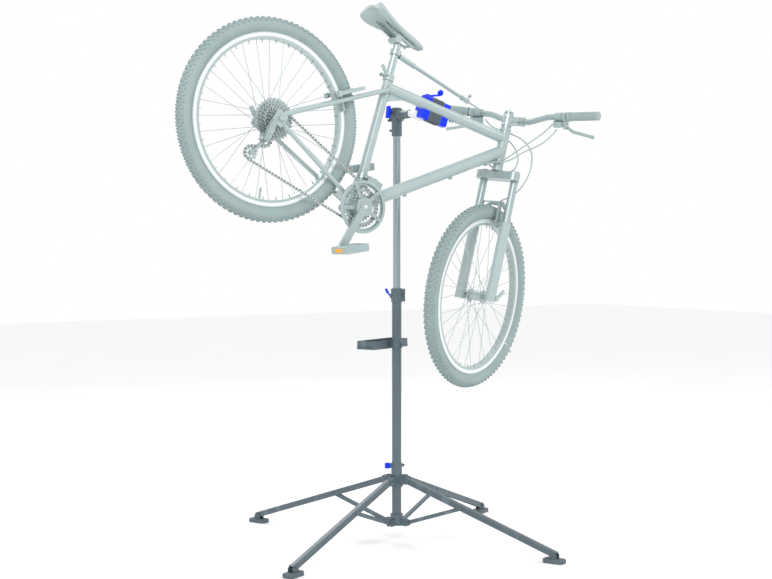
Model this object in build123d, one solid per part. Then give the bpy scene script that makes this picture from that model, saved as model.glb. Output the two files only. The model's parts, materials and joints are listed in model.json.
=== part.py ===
from build123d import *
from math import asin, atan2, cos, hypot, pi, radians, sin, tan
import os

# A mountain bicycle held by its top tube in a folding repair stand.
# Row frame: origin on the floor under the mast, +X towards the bicycle's front, +Y to its left, +Z up.
# All sizes in millimetres.

# Fits
running = 0.05          # radial clearance of a shaft that turns or slides in its hole
side_gap = 0.5          # free gap beside a link that swings between two walls
near_gap = 0.4          # free gap between parts that pass close by

# Folding base
leg_azimuths = [-67.1, 22.9, 112.9, 202.9]
pivot_radius = 45.0
hub_pivot_z = 73.0
foot_pin_z = 30.0
link_length = 250.0
spread_angle = 18.5
fold_angle = 52.0
channel_width = 20.0
channel_height = 22.0
channel_wall = 2.0
channel_overhang = 9.0
strut_height = 14.0
strut_thickness = 10.0
pin_radius = 3.0
ear_thickness = 3.0
ear_radius = 13.0
pad_length = 78.0
pad_width = 46.0
pad_height = 15.0

# Mast
mast_radius = 17.5
mast_wall = 1.5
mast_bottom_z = 65.0
mast_top_z = 915.0
hub_radius = 24.0
hub_bottom_z = 61.0
hub_height = 42.0
collar_radius = 20.5
collar_below = 26.0
collar_above = 62.0
knob_above = 52.0
knob_radius = 11.0
knob_azimuth = 157.9
post_radius = 14.0
post_wall = 1.8
post_inside = 275.0
clamp_radius = 21.0
clamp_low_z = 891.0
clamp_top_z = 943.0
clamp_azimuth = -34.5
nut_drop = 10.0
nut_pitch = 29.0
nut_side = 15.0

# Tool tray
tray_length = 235.0
tray_width = 80.0
tray_depth = 30.0
tray_wall = 2.0
tray_floor_z = 720.0
tray_lip = 13.0
tray_azimuth = 112.9
tray_offset = 22.0

# Clamp head and arm
head_low_z = 1504.0
head_socket = 54.0
head_radius = 19.0
arm_z = 1580.0
arm_radius = 9.5
sleeve_radius = 15.0
sleeve_length = 85.0
barrel_radius = 24.0
barrel_half = 21.0
arm_reach = 242.6
arm_end = 127.0
jaw_length = 112.0
jaw_cap_length = 29.0
jaw_back = 34.0
jaw_front = 7.0
jaw_lower_depth = 32.0
jaw_upper_height = 17.0
jaw_split = 3.0
jaw_pin_offset = 38.0
jaw_tail = 20.0
barrel_pin_radius = 7.0
small_eye = 4.0
large_eye = 6.0
eye_gap = 0.4
screw_radius = 4.0
screw_from_end = 14.0
screw_height = 50.0
crank_arm = 50.0
crank_lift = 20.0
ball_radius = 11.0

# Bicycle: its own frame has the rear axle as origin, x forward, z up
pitch_down = 34.23
clamp_point_x = 520.0
axle_to_crank = 430.0
crank_drop = -47.0
seat_top_x = 294.0
seat_top_z = 414.0
wheelbase = 1063.0
head_angle = 70.5
fork_offset = 42.0
steered = 22.0
top_tube_radius = 19.0
down_tube_radius = 22.0
seat_tube_radius = 16.0
head_tube_radius = 19.0
tube_wall = 2.0
shell_radius = 21.0
shell_half = 34.0
seatstay_radius = 7.5
chainstay_radius = 7.5
rear_half = 67.5
front_half = 50.0
head_low = 471.0
head_high = 615.0
top_tube_seat_z = 373.0
top_tube_slope = 17.56
down_tube_head = 537.0
gusset = 60.0
stop_radius = 4.5
stop_length = 12.0
stop_along = 590.0
stop_spread = 14.0
stop_lead = 22.0
cable_radius = 2.5
seatpost_radius = 13.6
seatpost_rise = 112.0
seatpost_inside = 150.0
saddle_length = 259.0
saddle_width = 148.0
saddle_low_z = 543.0
saddle_thick = 38.0
saddle_nose_x = 349.0

# Wheels
tyre_radius = 336.0
tyre_section = 27.0
tyre_wall = 3.0
rim_outer = 286.0
rim_inner = 262.0
rim_half = 13.0
rim_wall = 3.0
hub_shell = 16.0
flange_radius = 24.0
flange_thick = 4.0
spoke_radius = 1.0
spoke_count = 32
hub_end_radius = 8.0
front_flange = 30.0
rear_left_flange = 36.0
rear_right_flange = 21.0
axle_radius = 4.9

# Fork, stem and bar
stanchion_radius = 14.0
lower_radius = 19.0
leg_spread = 64.0
leg_forward = 30.0
lower_top = 272.0
lower_low = -16.0
fork_travel = 60.0
crown_low = 434.0
crown_high = 470.0
steerer_radius = 14.3
arch_low = 346.0
arch_thick = 12.0
stem_low = 634.0
stem_high = 678.0
stem_reach = 83.0
stem_rise = 22.0
bar_radius = 11.1
bar_half = 335.0
bar_rise = 21.0
bar_back = 34.0
bar_centre_flat = 45.0
bar_bend_end = 120.0
grip_radius = 16.0
grip_length = 125.0
pod_radius = 19.0
lever_length = 112.0
lever_tilt = 58.0
lever_stand = 36.0
lever_spread = 42.0

# Drivetrain
chain_pitch = 12.7
ring_teeth = [24, 32, 42]
cassette_teeth = [34, 28, 24, 20, 18, 16, 14]
driven_teeth = 20
pulley_teeth = 11
cage_width = 9.0
chainline = 45.0
ring_spacing = 8.0
sprocket_spacing = 5.0
sprocket_thick = 2.0
tooth_root = 4.2
chain_half = 3.4
chain_width = 7.0
guard_radius = 90.0
guard_inner = 80.0
spider_hub = 31.9
spider_arms = 5
guard_thick = 4.0
crank_length = 170.0
crank_side = 72.0
crank_thick = 13.0
pedal_gap = 6.0
pedal_width = 88.0
pedal_length = 92.0
pedal_thick = 26.0
pedal_tilt = 42.0
upper_pulley = (4.0, -80.0)
lower_pulley = (-16.0, -146.0)

# Places that follow from the sizes above
collar_pivot_z = hub_pivot_z + 2 * link_length * sin(radians(spread_angle))
leg_length = (collar_pivot_z - foot_pin_z) / sin(radians(spread_angle))
foot_radius = pivot_radius + leg_length * cos(radians(spread_angle))
folded = radians(spread_angle + fold_angle)
collar_travel = 2 * link_length * (sin(folded) - sin(radians(spread_angle)))
crank_centre = Vector(axle_to_crank, 0, crank_drop)
seat_axis = (Vector(seat_top_x, 0, seat_top_z) - crank_centre).normalized()
head_up = Vector(-cos(radians(head_angle)), 0, sin(radians(head_angle)))
head_fwd = Vector(sin(radians(head_angle)), 0, cos(radians(head_angle)))
head_foot = Vector(wheelbase, 0, 0) - head_fwd * fork_offset
top_dir = Vector(cos(radians(top_tube_slope)), 0, sin(radians(top_tube_slope)))
top_start_x = seat_top_x + (seat_top_z - top_tube_seat_z) * -seat_axis.X / seat_axis.Z
top_start = Vector(top_start_x, 0, top_tube_seat_z)
clamp_local = top_start + top_dir * ((clamp_point_x - top_start.X) / top_dir.X)
clamp_row = Vector(0, -arm_reach, arm_z + 5.5)


def pitched(point):
    """A bicycle vector turned nose down."""
    turn = radians(pitch_down)
    forward = point.X * cos(turn) + point.Z * sin(turn)
    return Vector(forward, point.Y, point.Z * cos(turn) - point.X * sin(turn))


bike_origin = clamp_row - pitched(clamp_local)
bike_place = Location(bike_origin, (0, pitch_down, 0))
steer_axis = Axis(head_foot, head_up)


def fork_point(along, forward, left=0.0):
    """A point in the fork's frame: up the steering axis from the axle, forward of it, and left."""
    return head_foot + head_up * along + head_fwd * forward + Vector(0, left, 0)


# Shapes used all over
def rod(start, end, radius):
    start, end = Vector(start), Vector(end)
    return Solid.make_cylinder(radius, (end - start).length, Plane(start, z_dir=end - start))


def cone(start, end, radius_start, radius_end):
    start, end = Vector(start), Vector(end)
    plane = Plane(start, z_dir=end - start)
    return Solid.make_cone(radius_start, radius_end, (end - start).length, plane)


def pipe(start, end, outer, inner):
    return rod(start, end, outer) - rod(start, end, inner)


def block(x_low, x_high, y_low, y_high, z_low, z_high):
    size = Box(x_high - x_low, y_high - y_low, z_high - z_low)
    return Pos((x_low + x_high) / 2, (y_low + y_high) / 2, (z_low + z_high) / 2) * size


def bar(start, end, width, height, side=Vector(0, 1, 0)):
    """A square-edged bar between two points, its width along side."""
    start, end = Vector(start), Vector(end)
    plane = Plane(start, x_dir=side, z_dir=end - start)
    return extrude(plane * Rectangle(width, height), (end - start).length)


def link(length, height, thickness, hole):
    """A round-ended flat link along +X from its pivot at the origin, with a hole at each end."""
    shape = Plane.XZ * Pos(length / 2, 0) * SlotCenterToCenter(length, height)
    body = extrude(shape, thickness / 2, both=True)
    for place in (0, length):
        body -= rod((place, -thickness, 0), (place, thickness, 0), hole)
    return body


def on_bike(shape):
    return bike_place * shape


def on_fork(shape):
    """Turned about the steering axis to the rest position, then placed with the bicycle."""
    return bike_place * shape.rotate(steer_axis, steered)


def at_azimuth(angle, shape):
    return Rot(0, 0, angle) * shape


# The folding base
def ears(inner, reach, half_gap, pivot_r, z_low, z_high):
    """Two upright ears either side of a link, from the sleeve out past the pivot."""
    plates = []
    for side in (1, -1):
        y_near = side * half_gap
        y_far = side * (half_gap + ear_thickness)
        plate = block(inner, pivot_r, min(y_near, y_far), max(y_near, y_far), z_low, z_high)
        middle = (z_low + z_high) / 2
        plate += rod((pivot_r, y_near, middle), (pivot_r, y_far, middle), (z_high - z_low) / 2)
        plates.append(plate)
    return plates


def cross_pin(pivot_r, z, half_length, radius):
    return rod((pivot_r, -half_length, z), (pivot_r, half_length, z), radius)


def base_hub():
    top = hub_bottom_z + hub_height
    body = rod((0, 0, hub_bottom_z), (0, 0, top), hub_radius)
    body -= rod((0, 0, mast_bottom_z), (0, 0, top), mast_radius)
    half_gap = strut_thickness / 2 + side_gap
    pins = []
    for angle in leg_azimuths:
        for plate in ears(hub_radius - 2, 0, half_gap, pivot_radius, hub_pivot_z - 12, hub_pivot_z + 12):
            body += at_azimuth(angle, plate)
        hole = cross_pin(pivot_radius, hub_pivot_z, half_gap + ear_thickness + 2, pin_radius)
        body -= at_azimuth(angle, hole)
        head_out = half_gap + ear_thickness
        pin = cross_pin(pivot_radius, hub_pivot_z, head_out, pin_radius)
        for side in (1, -1):
            pin += rod((pivot_radius, side * head_out, hub_pivot_z),
                       (pivot_radius, side * (head_out + 2), hub_pivot_z), pin_radius + 2)
        pins.append(at_azimuth(angle, pin))
    body -= rod((0, 0, mast_bottom_z), (0, 0, top), mast_radius)
    return [body] + pins


def leg_collar():
    low = collar_pivot_z - collar_below
    top = collar_pivot_z + collar_above
    body = rod((0, 0, low), (0, 0, top), collar_radius)
    body += rod((0, 0, low), (0, 0, low + 10), collar_radius + 3)
    half_gap = channel_width / 2 + side_gap
    pins = []
    for angle in leg_azimuths:
        for plate in ears(collar_radius - 10, 0, half_gap, pivot_radius, collar_pivot_z - 15,
                          collar_pivot_z + 15):
            body += at_azimuth(angle, plate)
        for side in (1, -1):
            stub_in = side * half_gap
            stub_out = side * (half_gap + ear_thickness)
            hole = rod((pivot_radius, stub_in, collar_pivot_z), (pivot_radius, stub_out, collar_pivot_z),
                       pin_radius)
            body -= at_azimuth(angle, hole)
            pin = hole + rod((pivot_radius, stub_out, collar_pivot_z),
                             (pivot_radius, stub_out + side * 2, collar_pivot_z), pin_radius + 2)
            pins.append(at_azimuth(angle, pin))
    knob_z = collar_pivot_z + knob_above
    body += at_azimuth(knob_azimuth, rod((0, 0, knob_z), (collar_radius + 5, 0, knob_z), 9))
    body -= at_azimuth(knob_azimuth, rod((0, 0, knob_z), (60, 0, knob_z), screw_radius + running))
    body += at_azimuth(knob_azimuth + 180, rod((0, 0, knob_z), (collar_radius + 9, 0, knob_z), 5.5))
    body -= rod((0, 0, low - 1), (0, 0, top + 1), mast_radius + running)
    return [body] + pins


def collar_knob():
    knob_z = collar_pivot_z + knob_above
    start = collar_radius + 5 + side_gap
    stem = rod((mast_radius + near_gap, 0, knob_z), (start, 0, knob_z), screw_radius)
    grip = rod((start, 0, knob_z), (start + 19, 0, knob_z), knob_radius)
    grip = fillet(grip.edges().filter_by(GeomType.CIRCLE), 3)
    lobes = []
    for index in range(6):
        turn = 2 * pi * index / 6
        y, z = knob_radius * 1.12 * cos(turn), knob_z + knob_radius * 1.12 * sin(turn)
        lobes.append(rod((start - 1, y, z), (start + 20, y, z), 2.6))
    for lobe in lobes:
        grip -= lobe
    return [at_azimuth(knob_azimuth, stem + grip)]


def leg(angle):
    """An inverted channel from the collar to the foot, with the strut's end inside it."""
    half_w = channel_width / 2
    half_h = channel_height / 2
    low, high = -channel_overhang, leg_length + channel_overhang
    body = block(low, high, -half_w, half_w, -half_h, half_h)
    body = fillet(body.edges().filter_by(Axis.X).group_by(Axis.Z)[-1], 3)
    body -= block(low - 1, high + 1, channel_wall - half_w, half_w - channel_wall, -half_h - 1,
                  half_h - channel_wall)
    for side in (1, -1):
        groove = block(30, leg_length - 30, half_w - 0.7, half_w + 1, -3, 2.5)
        body -= groove if side == 1 else mirror(groove, about=Plane.XZ)
    for place in (0, link_length, leg_length):
        body -= cross_pin(place, 0, half_w + 1, pin_radius + running)
    place = Pos(pivot_radius, 0, collar_pivot_z) * Rot(0, spread_angle, 0)
    return [at_azimuth(angle, place * body)]


def strut(angle):
    half_w = channel_width / 2
    body = link(link_length, strut_height, strut_thickness, pin_radius + running)
    body -= cross_pin(link_length, 0, strut_thickness, pin_radius + 0.5)
    pin = cross_pin(link_length, 0, half_w, pin_radius)
    collar = pipe((link_length, -strut_thickness / 2, 0), (link_length, strut_thickness / 2, 0),
                  pin_radius + 0.5, pin_radius)
    for side in (1, -1):
        pin += rod((link_length, side * (half_w + 0.2), 0), (link_length, side * (half_w + 2), 0),
                   pin_radius + 2)
        pin += rod((link_length, side * half_w, 0), (link_length, side * (half_w + 0.2), 0), pin_radius)
    place = Pos(pivot_radius, 0, hub_pivot_z) * Rot(0, -spread_angle, 0)
    return [at_azimuth(angle, place * shape) for shape in (body + collar, pin)]


def foot(angle):
    half_w = channel_width / 2 + side_gap
    pad = Pos(foot_radius, 0, pad_height / 2) * Box(pad_length, pad_width, pad_height)
    pad = fillet(pad.edges().filter_by(Axis.Z), 14)
    pad = fillet(pad.faces().sort_by(Axis.Z)[-1].edges(), 5)
    for plate in ears(foot_radius - 9, 0, half_w, foot_radius, foot_pin_z - 9, foot_pin_z + 9):
        pad += plate
    for side in (1, -1):
        y_near = side * half_w
        y_far = side * (half_w + ear_thickness)
        pad += block(foot_radius - 13, foot_radius + 13, min(y_near, y_far), max(y_near, y_far),
                     pad_height - 6,
                     foot_pin_z)
    outside = half_w + ear_thickness
    pad -= cross_pin(foot_radius, foot_pin_z, outside, pin_radius)
    pin = cross_pin(foot_radius, foot_pin_z, outside, pin_radius)
    for side in (1, -1):
        pin += rod((foot_radius, side * outside, foot_pin_z),
                   (foot_radius, side * (outside + 2), foot_pin_z),
                   pin_radius + 2)
    return [at_azimuth(angle, pad), at_azimuth(angle, pin)]


# The mast
def lower_mast():
    return [pipe((0, 0, mast_bottom_z), (0, 0, mast_top_z), mast_radius, mast_radius - mast_wall)]


def height_clamp():
    body = rod((0, 0, clamp_low_z), (0, 0, clamp_top_z), clamp_radius)
    body = chamfer(body.edges().filter_by(GeomType.CIRCLE), 2)
    ear = block(0, 31, -5.5, 5.5, clamp_low_z + 3, clamp_top_z - 2)
    body += at_azimuth(clamp_azimuth, ear)
    pivot_z = (clamp_low_z + clamp_top_z) / 2 - 2
    for side in (1, -1):
        y_near, y_far = side * 5.5, side * 9.5
        lug = block(12, 26, min(y_near, y_far), max(y_near, y_far), pivot_z - 8, pivot_z + 8)
        body += at_azimuth(clamp_azimuth + 180, lug)
    bolts = []
    for drop in (nut_drop, nut_drop + nut_pitch):
        z = clamp_top_z - drop
        hole = rod((24, -12, z), (24, 12, z), pin_radius)
        body -= at_azimuth(clamp_azimuth, hole)
        bolt = rod((24, -5.5, z), (24, 5.5, z), pin_radius)
        for side in (1, -1):
            y_near, y_far = side * 5.5, side * 12
            head = block(24 - nut_side / 2, 24 + nut_side / 2, min(y_near, y_far), max(y_near, y_far),
                         z - nut_side / 2, z + nut_side / 2)
            bolt += chamfer(head.edges().filter_by(Axis.Y), 1.5)
        bolts.append(at_azimuth(clamp_azimuth, bolt))
    pin = at_azimuth(clamp_azimuth + 180, rod((22.5, -9.5, pivot_z), (22.5, 9.5, pivot_z), 2))
    body -= pin
    body -= at_azimuth(clamp_azimuth + 180,
                       rod((22.5, -5.5, pivot_z), (22.5, 5.5, pivot_z), small_eye + eye_gap))
    body -= rod((0, 0, clamp_low_z - 1), (0, 0, mast_top_z), mast_radius)
    body -= rod((0, 0, mast_top_z), (0, 0, clamp_top_z + 1), post_radius + running)
    pin -= rod((0, 0, clamp_low_z), (0, 0, clamp_top_z), clamp_radius - 2)
    return [body, pin] + bolts


def height_lever():
    pivot_z = (clamp_low_z + clamp_top_z) / 2 - 2
    eye = rod((22.5, -5, pivot_z), (22.5, 5, pivot_z), small_eye)
    arm = bar((24, 0, pivot_z), (34, 0, pivot_z + 12), 8, 5)
    grip = bar((32, 0, pivot_z + 9), (41, 0, pivot_z + 27), 16, 9)
    grip = fillet(grip.edges(), 2)
    body = eye + arm + grip
    body -= rod((22.5, -9, pivot_z), (22.5, 9, pivot_z), 2 + running)
    return [at_azimuth(clamp_azimuth + 180, body)]


def tool_tray():
    near = tray_offset
    far = near + tray_width
    half = tray_length / 2
    top = tray_floor_z + tray_depth
    body = block(near, far, -half, half, tray_floor_z, top)
    body = fillet(body.edges().filter_by(Axis.Z), 8)
    body -= fillet(block(near + tray_wall, far - tray_wall, tray_wall - half, half - tray_wall,
                         tray_floor_z + tray_wall, top + 1).edges().filter_by(Axis.Z), 6)
    for side in (1, -1):
        y_near, y_far = side * (half - 1), side * (half + tray_lip)
        body += block(near + 8, far - 8, min(y_near, y_far), max(y_near, y_far), tray_floor_z + 4,
                      tray_floor_z + 4 + tray_wall)
    band = rod((0, 0, tray_floor_z + 2), (0, 0, top - 2), mast_radius + 3.5)
    band += block(0, near + 1, -11, 11, tray_floor_z + 2, top - 2)
    band -= rod((0, 0, tray_floor_z), (0, 0, top), mast_radius + running)
    body += band
    middle = tray_floor_z + tray_depth / 2
    bolt = rod((-mast_radius - 3.5, 0, middle), (-mast_radius - 9, 0, middle), 5)
    bolt += rod((-mast_radius - 3.5, 0, middle), (-mast_radius - 5.5, 0, middle), 8)
    bolt -= rod((0, 0, tray_floor_z), (0, 0, top), mast_radius + 3.5)
    return [at_azimuth(tray_azimuth, body), at_azimuth(tray_azimuth, bolt)]


# The clamp head and arm
def upper_mast():
    low = clamp_top_z - post_inside
    inside = mast_radius - mast_wall - running
    body = pipe((0, 0, low), (0, 0, head_low_z + head_socket), post_radius, post_radius - post_wall)
    guide = pipe((0, 0, low), (0, 0, low + 30), inside, post_radius)
    return [body, guide]


def clamp_head():
    top = arm_z + 29
    body = rod((0, 0, head_low_z), (0, 0, arm_z - 6), head_radius)
    body = chamfer(body.edges().group_by(Axis.Z)[0], 2)
    body += rod((0, barrel_half, arm_z), (0, -barrel_half, arm_z), barrel_radius)
    body += rod((0, -barrel_half, arm_z), (0, -sleeve_length, arm_z), sleeve_radius)
    body += cone((0, -barrel_half, arm_z), (0, -barrel_half - 16, arm_z), barrel_radius - 3,
                 sleeve_radius)
    body += block(-13, 13, -11, 11, arm_z, top)
    body += block(-26, 0, -9, 9, arm_z + 6, arm_z + 26)
    body -= block(-40, -barrel_radius + 2, -5.5, 5.5, arm_z, arm_z + 40)
    body -= rod((-24, -5.5, arm_z + 17), (-24, 5.5, arm_z + 17), large_eye + eye_gap)
    body -= rod((0, 0, head_low_z - 1), (0, 0, head_low_z + head_socket), post_radius)
    body -= rod((0, 60, arm_z), (0, -120, arm_z), arm_radius + running)
    pin = rod((-24, -9, arm_z + 17), (-24, 9, arm_z + 17), 2.5)
    body -= pin
    bolts = [pin]
    for z, length in ((head_low_z + 21, 9), (arm_z - 18, 15)):
        angle = clamp_azimuth + 180
        bolt = at_azimuth(angle, rod((head_radius - 1, 0, z), (head_radius + length, 0, z), 4))
        bolts.append(bolt - rod((0, 0, head_low_z), (0, 0, arm_z - 6), head_radius)
                     - rod((0, 60, arm_z), (0, -60, arm_z), barrel_radius))
    return [body] + bolts


def head_lever():
    z = arm_z + 17
    eye = rod((-24, -5, z), (-24, 5, z), large_eye)
    arm = bar((-24, 0, z), (-37, 0, z + 3), 9, 7)
    grip = bar((-36, 0, z + 17), (-41, 0, z - 28), 18, 11)
    grip = fillet(grip.edges(), 3)
    body = eye + arm + grip
    body -= rod((-24, -9, z), (-24, 9, z), 2.5 + running)
    return [body]


def clamp_arm():
    body = rod((0, barrel_half + 8, arm_z), (0, -arm_end, arm_z), arm_radius)
    body += rod((0, barrel_half + near_gap, arm_z), (0, barrel_half + 8, arm_z), 14)
    body += rod((0, -sleeve_length - near_gap, arm_z), (0, -sleeve_length - 6, arm_z), 13)
    return [body]


# The jaws: along is the top tube's direction, height is square to it, y is the row's Y
jaw_plane = Plane(clamp_row, x_dir=Vector(0, 1, 0), z_dir=pitched(top_dir))
jaw_up = jaw_plane.y_dir


def jaw_block(y_low, y_high, up_low, up_high, along_low, along_high):
    shape = jaw_plane.offset(along_low) * Pos((y_low + y_high) / 2, (up_low + up_high) / 2)
    return extrude(shape * Rectangle(y_high - y_low, up_high - up_low), along_high - along_low)


def jaw_point(y, up, along):
    return clamp_row + Vector(0, y, 0) + jaw_up * up + jaw_plane.z_dir * along


def jaw_rod(y, up, along_low, along_high, radius):
    return rod(jaw_point(y, up, along_low), jaw_point(y, up, along_high), radius)


def jaw_body(sign, depth):
    """Half of the clamp: a ribbed middle and two end caps, bored for the top tube."""
    half = jaw_length / 2
    outer = sign * (top_tube_radius + depth)
    near = sign * jaw_split
    low, high = min(near, outer), max(near, outer)
    solids = []
    for start, end, shrink in ((-half, jaw_cap_length - half, 2),
                               (jaw_cap_length - half, half - jaw_cap_length, 0),
                               (half - jaw_cap_length, half, 2)):
        body = jaw_block(-jaw_front, jaw_back - 6, low + (shrink if sign < 0 else 0),
                         high - (shrink if sign > 0 else 0), start, end)
        edges = body.edges().filter_by(Axis(clamp_row, jaw_plane.z_dir))
        key = lambda edge: sign * (edge.center() - clamp_row).dot(jaw_up)
        body = fillet(sorted(edges, key=key)[-2:], 9)
        solids.append(body - jaw_rod(0, 0, start - 1, end + 1, top_tube_radius + near_gap))
    return solids


def lower_jaw():
    half = jaw_length / 2
    inner = half - jaw_cap_length
    solids = jaw_body(-1, jaw_lower_depth)
    pin = jaw_rod(jaw_pin_offset, 0, -half, half, pin_radius)
    knuckles = []
    for start, end in ((-half, -inner - 1), (inner + 1, half)):
        knuckle = jaw_rod(jaw_pin_offset, 0, start, end, barrel_pin_radius)
        knuckle += jaw_block(jaw_back - 7, jaw_pin_offset + barrel_pin_radius, -20, -2, start, end)
        knuckle -= jaw_rod(0, 0, start - 1, end + 1, top_tube_radius + near_gap)
        knuckles.append(knuckle - pin)
    solids[0] += knuckles[0]
    solids[2] += knuckles[1]
    bracket = jaw_block(jaw_back - 6, arm_reach - arm_end, -30, -9, -22, 22)
    bracket -= jaw_rod(jaw_pin_offset, 0, -30, 30, barrel_pin_radius + 2)
    collar = rod((0, -arm_end + 2, arm_z), (0, -arm_end - 14, arm_z), 15)
    collar = collar - rod((0, 0, arm_z), (0, -arm_end, arm_z), arm_radius)
    web = jaw_block(arm_reach - arm_end - 16, arm_reach - arm_end, -30, 0, -14, 14)
    web -= rod((0, 0, arm_z), (0, -arm_end, arm_z), arm_radius)
    plate = bracket + web + collar
    plate -= rod((0, 0, arm_z), (0, -arm_end + 0.1, arm_z), arm_radius)
    solids.append(plate)
    solids.append(pin)
    return solids


def upper_jaw():
    half = jaw_length / 2
    inner = half - jaw_cap_length
    solids = jaw_body(1, jaw_upper_height)
    knuckle = jaw_rod(jaw_pin_offset, 0, -inner, inner, barrel_pin_radius)
    knuckle += jaw_block(jaw_back - 7, jaw_pin_offset + 1, 3, 12, -inner, inner)
    knuckle += jaw_block(jaw_pin_offset, jaw_pin_offset + jaw_tail, 4, 12, -inner, inner)
    knuckle -= jaw_rod(jaw_pin_offset, 0, -half, half, pin_radius + running)
    knuckle -= jaw_rod(0, 0, -half, half, top_tube_radius + near_gap)
    solids[1] += knuckle
    along = -inner + screw_from_end
    hole = rod(jaw_point(jaw_pin_offset + 13, -4, along), jaw_point(jaw_pin_offset + 13, 20, along),
               screw_radius + running)
    solids[1] -= hole
    return solids


def clamp_crank():
    along = jaw_cap_length - jaw_length / 2 + screw_from_end
    y = jaw_pin_offset + 13
    screw = rod(jaw_point(y, 1, along), jaw_point(y, screw_height, along), screw_radius)
    boss = rod(jaw_point(y, screw_height - 8, along), jaw_point(y, screw_height + 4, along), 9)
    tip = jaw_point(y, screw_height + crank_lift, along + crank_arm)
    arm = bar(jaw_point(y, screw_height - 2, along), tip, 9, 7)
    ball = Pos(tip + jaw_up * 9) * Sphere(ball_radius)
    return [screw + boss + arm, ball - arm]


# The bicycle's frame
def line_meets_steerer(start, direction):
    """Where a line in the bicycle's middle plane crosses the steering axis."""
    across = head_foot - start
    det = direction.X * -head_up.Z + direction.Z * head_up.X
    share = (across.X * -head_up.Z + across.Z * head_up.X) / det
    return start + direction * share


top_end = line_meets_steerer(top_start, top_dir)
down_end = fork_point(down_tube_head, 0)
seat_end = Vector(seat_top_x, 0, seat_top_z)
stay_top = top_start - seat_axis * 12
stay_foot = Vector(0, rear_half - 1.5, 14)
stay_root = Vector(stay_top.X, 21, stay_top.Z)
chain_foot = Vector(0, rear_half - 1.5, -4)
chain_root = Vector(axle_to_crank - 16, 25, crank_drop + 2)
head_bottom = fork_point(head_low, 0)
head_top = fork_point(head_high, 0)
steerer_bore = steerer_radius + running
head_solid = rod(head_bottom, head_top, head_tube_radius)
seat_solid = rod(crank_centre, seat_end, seat_tube_radius)
shell_solid = rod(crank_centre - Vector(0, shell_half, 0), crank_centre + Vector(0, shell_half, 0),
                  shell_radius)


def top_tube():
    body = pipe(top_start, top_end, top_tube_radius, top_tube_radius - tube_wall)
    gusset_low = top_start - seat_axis * 42
    wedge = bar(gusset_low, top_start + top_dir * 95, 9, 24)
    body += wedge
    stop_place = top_start + top_dir * 300 - Vector(0, 0, top_tube_radius + 2)
    body += rod(stop_place, stop_place + top_dir * 14, 4.5)
    body -= rod(seat_end - seat_axis * 20, seat_end + seat_axis * 2, seat_tube_radius + 4)
    return [on_bike(body - head_solid - seat_solid)]


def down_tube():
    direction = (down_end - crank_centre).normalized()
    body = pipe(crank_centre, down_end, down_tube_radius, down_tube_radius - tube_wall)
    corner = down_end - direction * gusset
    plate = Polyline([(p.X, p.Z) for p in (corner, fork_point(head_low + 6, 0), down_end)], close=True)
    body += extrude(Plane.XZ * make_face(plate), 5, both=True)
    for along, left in ((210, 0), (420, 0), (stop_along, -stop_spread), (stop_along, 0),
                        (stop_along, stop_spread)):
        place = stop_place(along, left)
        body += rod(place, place + direction * stop_length, stop_radius)
    body -= rod(top_start, top_end, top_tube_radius)
    return [on_bike(body - head_solid - shell_solid - seat_solid)]


lever_place = seat_end - seat_axis * 10 - Vector(24, 0, 0)


def seat_tube():
    body = rod(crank_centre, seat_end, seat_tube_radius) + shell_solid
    body -= rod(crank_centre + seat_axis * shell_radius * 0.9, seat_end, seatpost_radius + running)
    body -= rod(crank_centre - Vector(0, 50, 0), crank_centre + Vector(0, 50, 0), 12 + running)
    collar = pipe(seat_end - seat_axis * 20, seat_end + seat_axis * 2, seat_tube_radius + 4,
                  seat_tube_radius)
    collar -= rod(seat_end - seat_axis * 5, seat_end + seat_axis * 5, seatpost_radius + running)
    lug = bar(seat_end - seat_axis * 16 - Vector(17, 0, 0), seat_end - seat_axis * 4 - Vector(17, 0, 0),
              22, 14)
    lug -= rod(crank_centre, seat_end + seat_axis * 9, seat_tube_radius + 4)
    collar += lug
    collar -= rod(lever_place - Vector(0, 30, 0), lever_place + Vector(0, 30, 0), 3.5 + near_gap)
    cut = bar(seat_end - seat_axis * 30 - Vector(22, 0, 0), seat_end + seat_axis * 20 - Vector(22, 0, 0),
              2, 30)
    return [on_bike(body), on_bike(collar - cut)]


def head_tube():
    body = pipe(head_bottom, head_top, head_tube_radius, steerer_bore)
    cups = [pipe(fork_point(head_low - 7, 0), head_bottom, head_tube_radius + 2, steerer_bore),
            pipe(head_top, fork_point(head_high + 9, 0), head_tube_radius + 2, steerer_bore)]
    return [on_bike(shape) for shape in [body] + cups]


def dropout(side):
    y_in = rear_half if side > 0 else -rear_half - 6
    plate = block(-22, 22, y_in, y_in + 6, -24, 24)
    plate = fillet(plate.edges().filter_by(Axis.Y), 9)
    return plate - rod((0, y_in - 1, 0), (0, y_in + 7, 0), axle_radius + running)


def mirrored(point, side):
    return Vector(point.X, side * point.Y, point.Z)


def rear_space():
    """The room that the rear wheel turns in."""
    return rod((0, -36, 0), (0, 36, 0), tyre_radius + 4) & rod((0, -31, 0), (0, 31, 0), tyre_radius + 4)


def chain_stays():
    body = None
    for side in (1, -1):
        stay = rod(mirrored(chain_foot, side), mirrored(chain_root, side), chainstay_radius)
        stay += dropout(side)
        stay -= rod((0, 0, 0), (0, side * (rear_half), 0), 30)
        body = stay if body is None else body + stay
    yoke = bar(Vector(352, 0, -37), Vector(axle_to_crank - 8, 0, crank_drop + 3), 60, 14)
    body += yoke - rear_space()
    solids = body - shell_solid - rod(crank_centre, seat_end, seat_tube_radius)
    skewer = rod((0, rear_half + 6, 0), (0, rear_half + 20, 0), 9)
    skewer += rod((0, -rear_half - 6, 0), (0, -rear_half - 17, 0), 8)
    skewer += bar((0, rear_half + 14, 0), (-46, rear_half + 18, 30), 8, 13)
    return [on_bike(solids), on_bike(skewer)]


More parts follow.
